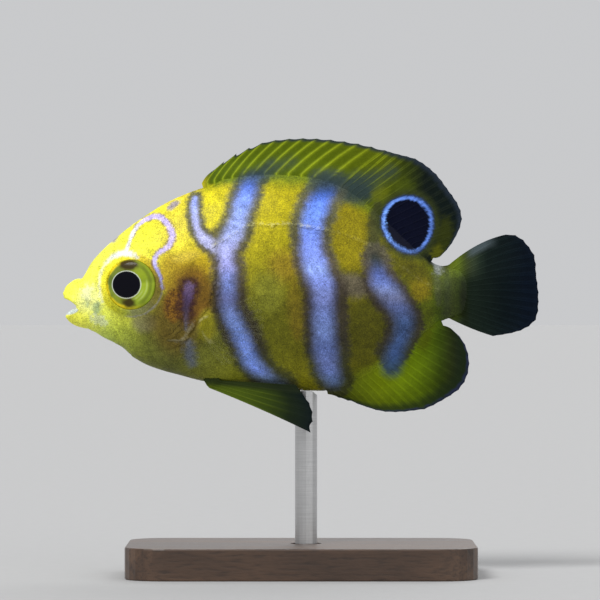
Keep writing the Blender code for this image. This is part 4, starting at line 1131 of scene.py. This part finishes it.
def sheet_faces(count):
    """Faces of a closed sheet: two layers of count lines of points, and the rim."""
    faces, n = [], count * FIN_ROWS
    for c in range(count - 1):
        for r in range(FIN_ROWS - 1):
            a, b = c * FIN_ROWS + r, (c + 1) * FIN_ROWS + r
            faces.append((a, b, b + 1, a + 1))
            faces.append((n + b, n + a, n + a + 1, n + b + 1))
    last = (count - 1) * FIN_ROWS
    rim = [c * FIN_ROWS for c in range(count)] + [last + r for r in range(1, FIN_ROWS)]
    rim += [c * FIN_ROWS + FIN_ROWS - 1 for c in range(count - 2, -1, -1)]
    rim += list(range(FIN_ROWS - 2, 0, -1))
    return faces + [(b, a, n + a, n + b) for a, b in zip(rim, rim[1:] + rim[:1])]


def fine_fin(name, rays, aside, painter, spines=0, spine_notches=(0.1, 0.1), replaced=(),
             thickness=(0.26, 0.09), ridge=0.06, ripple=0.06, opacity=(1.0, 0.985), ray_body=0.6,
             root=(0.1, 1.0)):
    """A fin from its rays: a thin web with raised, branching rays on both faces.

    root says how much thicker each face is at the rays' inner ends, and how far out
    along them that fades.
    """
    line, places = web_columns(rays, spines, spine_notches)
    t = np.tile(np.linspace(0, 1, FIN_ROWS), (len(line), 1))
    between, spiny, count = (np.array(values)[:, None] for values in zip(*places))
    height = np.array([ridges(np.full(FIN_ROWS, s), t[0], spine) for s, spine, _ in places])
    glow = np.exp(-(np.minimum(between, 1 - between) / 0.15) ** 2) * spiny
    half = (thickness[0] + (thickness[1] - thickness[0]) * step(t, 0.0, 0.75)) / 2
    depth = t * np.linalg.norm(line[:, -1] - line[:, 0], axis=1)[:, None]
    half = half + ridge * np.where(spiny, 1.0, 0.6) * height * (1 - 0.72 * t)
    half = half + root[0] * step(depth, root[1], root[1] * 0.4)
    sway = ripple * t ** 2 * np.sin(count * 0.55 + t * 2.2)
    aside = np.array(aside, float)
    aside /= np.linalg.norm(aside)
    middle = line + aside * sway[..., None]
    points = np.concatenate([
        (middle - aside * half[..., None]).reshape(-1, 3),
        (middle + aside * half[..., None]).reshape(-1, 3),
    ])
    made = object_of(name, points, sheet_faces(len(line)), replaced[0], *replaced)
    face_outwards(made.data)
    ray = np.tile(np.clip(np.maximum(height, glow * 0.8).ravel(), 0, 1), 2)
    along = np.tile(t.ravel(), 2)
    see = opacity[0] + (opacity[1] - opacity[0]) * step(along, 0.05, 0.45)
    paint(made, painter(points, along, ray), see + (1 - see) * ray * ray_body)
    return made


def edge_roots(outline, span, count, gap, crowding=1.0):
    """Roots along the back or belly, as in the solids, each with its outward direction."""
    found = []
    low, high = span
    for k in range(count):
        x = low + (high - low) * (k / (count - 1)) ** crowding
        slope = (smooth(outline, x + 0.05) - smooth(outline, x - 0.05)) / 0.1
        up = np.array((-slope, 0, 1)) / math.hypot(slope, 1)
        found.append((np.array((x, 0, smooth(outline, x))) + up * gap, up))
    return found


def edge_rays(roots, tips, bow, inset):
    """Rays that rise from the body's edge to tips along a curve."""
    ends = [np.array((x, 0, z)) for x, z in spaced(tips, len(roots))]
    return [ray_line(root, tip, bow, up * inset) for (root, up), tip in zip(roots, ends)]


def dorsal_fin():
    spine_roots = edge_roots(BACK, DORSAL_SPINE_ROOTS, DORSAL_SPINES, GAP, DORSAL_SPINE_CROWDING)
    ray_roots = edge_roots(BACK, DORSAL_RAY_ROOTS, DORSAL_RAYS, GAP)
    rays = edge_rays(spine_roots, DORSAL_SPINE_TIPS, DORSAL_SPINE_BOW, -RAY_INSET)
    rays += edge_rays(ray_roots, DORSAL_RAY_TIPS, DORSAL_RAY_BOW, -RAY_INSET)
    return fine_fin("dorsal_web", rays, (0, 1, 0), dorsal_paint, DORSAL_SPINES, (0.24, 0.02),
                    ("dorsal_fin_spiny", "dorsal_fin_soft"), root=(0.16, 2.3))


def anal_fin():
    roots = edge_roots(BELLY, ANAL_ROOTS, ANAL_SPINES + ANAL_RAYS, -GAP)
    rays = edge_rays(roots, ANAL_TIPS, ANAL_BOW, RAY_INSET)
    return fine_fin("anal_web", rays, (0, 1, 0), anal_paint, ANAL_SPINES, (0.06, 0.06),
                    ("anal_fin",), root=(0.22, 2.3))


def tail_fin():
    rays = []
    for k, (x, z) in enumerate(spaced(TAIL_TIPS, TAIL_RAYS)):
        share = k / (TAIL_RAYS - 1)
        root_z = TAIL_ROOT_Z[1] + (TAIL_ROOT_Z[0] - TAIL_ROOT_Z[1]) * share
        arc = abs(math.sin(math.pi * share)) ** 0.5
        root = np.array((TAIL_ROOT_X + TAIL_ROOT_ARC * arc, 0, root_z))
        bow = TAIL_BOW[0] + (TAIL_BOW[1] - TAIL_BOW[0]) * share
        inner = np.array((TAIL_INNER, 0, (TAIL_AXIS - root_z) * 0.12))
        rays.append(ray_line(root, np.array((x, 0, z)), (0, 0, bow), inner))
    return fine_fin("tail_web", rays, (0, 1, 0), tail_paint, replaced=("tail_fin",))


def pectoral_fin(side, word):
    rays = []
    anchor = np.array((-0.25, -side * (PECTORAL_STAND_OFF + 0.35), 0))
    for a, b in zip(spaced(PECTORAL_ROOTS, PECTORAL_RAYS), spaced(PECTORAL_TIPS, PECTORAL_RAYS)):
        root_y = half_width_at(*a) + PECTORAL_STAND_OFF
        tip_y = half_width_at(*b) + PECTORAL_STAND_OFF + PECTORAL_SPLAY
        root, tip = np.array((a[0], side * root_y, a[1])), np.array((b[0], side * tip_y, b[1]))
        rays.append(ray_line(root, tip, (0, side * 0.12, 0), anchor))
    return fine_fin(f"pectoral_web_{word}", rays, (-0.35, side, 0), pectoral_paint,
                    replaced=(f"pectoral_fin_{word}",), thickness=(0.16, 0.05), ridge=0.03,
                    ripple=0.05, opacity=(0.3, 0.012), ray_body=0.035)


def pelvic_fin(side, word):
    rays = []
    for k, (a, b) in enumerate(zip(spaced(PELVIC_ROOTS, PELVIC_RAYS), PELVIC_TIPS)):
        share = k / (PELVIC_RAYS - 1)
        root = np.array((a[0], side * (PELVIC_ROOT_Y + 0.1 * share), a[1]))
        tip = np.array((b[0], side * (PELVIC_ROOT_Y + PELVIC_SPLAY * (1 - 0.3 * share)), b[1]))
        bow = (0, side * 0.1, 0.08 * (1 - share))
        rays.append(ray_line(root, tip, bow, np.array((-0.3, -side * 0.1, 0.5))))
    return fine_fin(f"pelvic_web_{word}", rays, (-0.12, side, 0.1), pelvic_paint, 2, (0.02, 0.02),
                    (f"pelvic_fin_{word}",), ripple=0.04)


EYEBALL_RINGS, EYEBALL_AROUND = 120, 220
CORNEA_REACH, CORNEA_HEIGHT = 1.0, 0.05  # radians from the eye's axis, millimetres


def ring_points(middle, beside, above, radius, count):
    """Points round a middle, in the plane of two directions."""
    turns = [2 * math.pi * k / count for k in range(count)]
    return [middle + beside * (radius * math.cos(a)) + above * (radius * math.sin(a)) for a in turns]


def eye(side, word):
    """An eyeball with a domed cornea, whose front half shows in the orbit."""
    x, z = EYE_CENTRE
    facing = np.array((-math.sin(EYE_TURN), side * math.cos(EYE_TURN), 0))
    beside = np.array((math.cos(EYE_TURN), side * math.sin(EYE_TURN), 0))
    centre = np.array((x, side * half_width_at(x, z), z)) + facing * (EYE_BULGE - EYE_HALF_DEPTH)
    points = []
    for r in range(EYEBALL_RINGS):
        polar = math.pi * (r + 0.5) / EYEBALL_RINGS
        towards = math.cos(polar)
        depth = math.copysign(EYE_HALF_DEPTH * abs(towards) ** EYE_FLATNESS, towards)
        if polar < CORNEA_REACH:
            depth += CORNEA_HEIGHT * math.cos(polar * math.pi / 2) ** 2
        radius = EYE_RADIUS * math.sin(polar)
        middle = centre + facing * depth
        points += ring_points(middle, beside, np.array((0, 0, 1)), radius, EYEBALL_AROUND)
    faces = tube_faces(EYEBALL_RINGS, EYEBALL_AROUND)
    if side > 0:
        faces = [f[::-1] for f in faces]
    made = object_of(f"eyeball_{word}", points, faces, f"eye_{word}", f"eye_{word}")
    paint(made, eye_paint(np.array(points)))
    return made


CHEEK_SPINE_LENGTH, CHEEK_SPINE_RADIUS = 1.1, 0.12
CHEEK_SPINE_ROWS, CHEEK_SPINE_SIDES = 10, 12


def cheek_spine(side, word, tree):
    """The short spine at the corner of the cheek."""
    x, z = CHEEK_SPINE_ROOT
    near, normal, _, _ = tree.find_nearest(Vector((x, side * float(half_width_at(x, z)), z)))
    back = Vector((0.95, side * 0.16, -0.04)).normalized()
    across = normal.cross(back).normalized()
    points = []
    for r in range(CHEEK_SPINE_ROWS):
        t = r / (CHEEK_SPINE_ROWS - 1)
        middle = near - normal * 0.06 + back * (t * CHEEK_SPINE_LENGTH - 0.2)
        radius = CHEEK_SPINE_RADIUS * (1 - t) ** 0.7 + 0.01
        ring = ring_points(middle, across, normal * 0.8, radius, CHEEK_SPINE_SIDES)
        points += [tuple(p) for p in ring]
    faces = [f[::-1] for f in tube_faces(CHEEK_SPINE_ROWS, CHEEK_SPINE_SIDES)]
    made = object_of(f"cheek_spine_{word}", points, faces, "head")
    share = step(np.repeat(np.linspace(0, 1, CHEEK_SPINE_ROWS), CHEEK_SPINE_SIDES), 0.5, 0.0)
    paint(made, mix(SPINE_TONE, SPINE_ROOT_TONE, share))
    return made


def node(tree, kind, **values):
    """A shader node with some of its sockets or settings given."""
    made = tree.nodes.new(kind)
    for key, value in values.items():
        socket = made.inputs.get(key.replace("_", " "))
        if socket is not None:
            socket.default_value = value
        else:
            setattr(made, key.lower(), value)
    return made


def material(name, **values):
    """A material with some of its shader's sockets set to constants."""
    made = bpy.data.materials.new(name)
    made.use_nodes = True
    shader = made.node_tree.nodes["Principled BSDF"]
    for key, value in values.items():
        shader.inputs[key.replace("_", " ")].default_value = value
    return made, made.node_tree, shader


def grained(tree, scale, **values):
    """Noise over the object. scale is one number, or one for each axis."""
    place = node(tree, "ShaderNodeTexCoord").outputs["Object"]
    if isinstance(scale, tuple):
        stretched = node(tree, "ShaderNodeMapping")
        stretched.inputs["Scale"].default_value = scale
        tree.links.new(place, stretched.inputs["Vector"])
        place = stretched.outputs["Vector"]
        scale = 1.0
    made = node(tree, "ShaderNodeTexNoise", Scale=scale, **values)
    tree.links.new(place, made.inputs["Vector"])
    return made.outputs["Fac"]


def ranged(tree, value, low, high, target=None, **values):
    """A value brought to the range from low to high, and into a socket where one is given."""
    made = node(tree, "ShaderNodeMapRange", To_Min=low, To_Max=high, **values)
    tree.links.new(value, made.inputs["Value"])
    if target is not None:
        tree.links.new(made.outputs["Result"], target)
    return made.outputs["Result"]


def colour_by(tree, colour, factor, shader):
    """Makes the base colour a colour times a factor."""
    made = node(tree, "ShaderNodeVectorMath", operation="SCALE")
    tree.links.new(colour, made.inputs[0])
    tree.links.new(factor, made.inputs["Scale"])
    tree.links.new(made.outputs["Vector"], shader.inputs["Base Color"])


def bumps(tree, height, strength, distance, shader):
    made = node(tree, "ShaderNodeBump", Strength=strength, Distance=distance)
    tree.links.new(height, made.inputs["Height"])
    tree.links.new(made.outputs["Normal"], shader.inputs["Normal"])


def painted(name, roughness, coat, mottle, bump, specular, see_through=False, coat_roughness=0.25):
    """Living skin: the stored colours, broken up by fine pigment, over a fine relief."""
    made, tree, shader = material(name, Coat_Weight=coat, Coat_Roughness=coat_roughness,
                                  Specular_IOR_Level=specular)
    stored = node(tree, "ShaderNodeAttribute", attribute_name="paint")
    pigment = grained(tree, 13000.0, Detail=2.0, Roughness=0.6)
    clouds = grained(tree, 1500.0, Detail=2.0)
    both = node(tree, "ShaderNodeMath", operation="MULTIPLY_ADD")
    tree.links.new(clouds, both.inputs[0])
    both.inputs[1].default_value = 0.4
    tree.links.new(pigment, both.inputs[2])
    shade = ranged(tree, both.outputs[0], 1 - mottle, 1 + mottle, From_Min=0.5, From_Max=0.9)
    colour_by(tree, stored.outputs["Color"], shade, shader)
    bumps(tree, pigment, bump, 0.00003, shader)
    ranged(tree, clouds, roughness - 0.08, roughness + 0.1, shader.inputs["Roughness"])
    if see_through:
        tree.links.new(stored.outputs["Alpha"], shader.inputs["Alpha"])
    return made


def colour_stops(texture, stops):
    """Sets a colour ramp's stops, given as (place, colour) in order."""
    elements = texture.color_ramp.elements
    for element, (at, colour) in zip(elements, (stops[0], stops[-1])):
        element.position = at
        element.color = (*colour, 1)
    for at, colour in stops[1:-1]:
        elements.new(at).color = (*colour, 1)


WALNUT_GRAIN, WALNUT_PORES = (60, 700, 420), (900, 9000, 6000)
WALNUT_TONES = [
    (0.28, (0.022, 0.011, 0.006)), (0.5, (0.062, 0.032, 0.017)), (0.74, (0.125, 0.068, 0.036)),
]


def walnut():
    """Dark oiled wood with long grain, pores and a satin finish."""
    made, tree, shader = material("walnut", Coat_Weight=0.15, Coat_Roughness=0.3)
    grain = grained(tree, WALNUT_GRAIN, Detail=6.0, Roughness=0.62, Distortion=0.7)
    colour = node(tree, "ShaderNodeValToRGB")
    colour_stops(colour, WALNUT_TONES)
    tree.links.new(grain, colour.inputs["Fac"])
    pores = grained(tree, WALNUT_PORES, Detail=3.0)
    deep = ranged(tree, pores, 0.55, 1.0, From_Min=0.3, From_Max=0.5)
    colour_by(tree, colour.outputs["Color"], deep, shader)
    bumps(tree, pores, 0.4, 0.00004, shader)
    ranged(tree, grain, 0.36, 0.55, shader.inputs["Roughness"])
    return made


BRUSH_MARKS = (600, 600, 22000)


def brushed_steel():
    """Steel with fine brush marks round the rod."""
    made, tree, shader = material("brushed_steel", Metallic=1.0)
    brush = grained(tree, BRUSH_MARKS, Detail=3.0)
    ranged(tree, brush, 0.42, 0.66, shader.inputs["Base Color"])
    ranged(tree, brush, 0.24, 0.44, shader.inputs["Roughness"])
    bumps(tree, brush, 0.25, 0.00002, shader)
    return made


def wear(obj, finish):
    obj.data.materials.clear()
    obj.data.materials.append(finish)


def floor():
    bpy.ops.mesh.primitive_plane_add(size=6.0, location=(0, 0, 0))
    made = bpy.context.object
    made.name = "floor"
    finish, tree, shader = material("pale_floor", Roughness=0.9, Specular_IOR_Level=0.1)
    ranged(tree, grained(tree, 900.0, Detail=2.0), 0.44, 0.465, shader.inputs["Base Color"])
    wear(made, finish)


LAMPS = (  # name, direction, strength, spread in degrees
    ("key", (0.5, 0.8, -0.95), 2.1, 22),
    ("fill", (-0.8, 0.9, -0.3), 0.4, 60),
    ("rear", (-0.3, -0.9, -0.8), 0.9, 40),
)


def lights():
    """A wide soft key from the front left, a fill, a light from behind and a pale sky."""
    world = bpy.context.scene.world or bpy.data.worlds.new("studio")
    bpy.context.scene.world = world
    world.use_nodes = True
    sky = world.node_tree.nodes["Background"]
    sky.inputs["Color"].default_value = (0.97, 0.98, 1.0, 1)
    sky.inputs["Strength"].default_value = 0.6
    for name, towards, strength, spread in LAMPS:
        lamp = bpy.data.lights.new(name, "SUN")
        lamp.energy = strength
        lamp.angle = math.radians(spread)
        holder = bpy.data.objects.new(name, lamp)
        holder.rotation_euler = Vector(towards).to_track_quat("-Z", "Y").to_euler()
        bpy.context.scene.collection.objects.link(holder)


CAMERA_DISTANCE, SENSOR_WIDTH = 0.3, 36.0


def camera():
    """Looks squarely at the left flank and frames it as the photograph does."""
    lens = bpy.data.cameras.new("camera")
    lens.sensor_width = SENSOR_WIDTH
    lens.lens = SENSOR_WIDTH * CAMERA_DISTANCE / (PHOTO_SIZE * PIXEL * METRES)
    lens.clip_start = 0.01
    made = bpy.data.objects.new("camera", lens)
    middle = PHOTO_SIZE / 2
    made.location = ((middle - PHOTO_MIDDLE) * PIXEL * METRES, -CAMERA_DISTANCE,
                     (PHOTO_FLOOR - middle) * PIXEL * METRES)
    made.rotation_euler = (math.pi / 2, 0, 0)
    bpy.context.scene.collection.objects.link(made)
    bpy.context.scene.camera = made
    bpy.context.scene.view_settings.view_transform = "Standard"


def dress():
    """Makes every piece of the fish and gives it its material."""
    flesh = painted("skin", roughness=0.46, coat=0.03, mottle=0.38, bump=0.5, specular=0.12)
    scale = painted("scale", roughness=0.44, coat=0.03, mottle=0.42, bump=0.5, specular=0.12)
    web = painted("fin_web", roughness=0.52, coat=0.0, mottle=0.1, bump=0.3, specular=0.04,
                  see_through=True)
    glossy = painted("eye", roughness=0.25, coat=0.12, mottle=0.05, bump=0.05, specular=0.06,
                     coat_roughness=0.15)
    skin_piece, points, faces = skin()
    wear(skin_piece, flesh)
    surface = BVHTree.FromPolygons([tuple(p) for p in points], faces)
    for piece in (dorsal_fin(), anal_fin(), tail_fin()):
        wear(piece, web)
    for side, word in ((-1, "left"), (1, "right")):
        wear(scales(side, surface), scale)
        wear(cheek_spine(side, word, surface), flesh)
        wear(pectoral_fin(side, word), web)
        wear(pelvic_fin(side, word), web)
        wear(eye(side, word), glossy)


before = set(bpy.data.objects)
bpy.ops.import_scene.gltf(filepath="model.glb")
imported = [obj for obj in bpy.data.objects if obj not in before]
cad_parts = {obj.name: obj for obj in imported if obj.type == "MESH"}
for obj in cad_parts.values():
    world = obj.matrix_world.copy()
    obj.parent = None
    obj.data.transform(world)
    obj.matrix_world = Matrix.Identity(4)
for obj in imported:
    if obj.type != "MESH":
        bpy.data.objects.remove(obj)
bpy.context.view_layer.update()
floor()
lights()
camera()
dress()
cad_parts["stand_base"].material_slots[0].material = walnut()
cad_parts["stand_rod"].material_slots[0].material = brushed_steel()
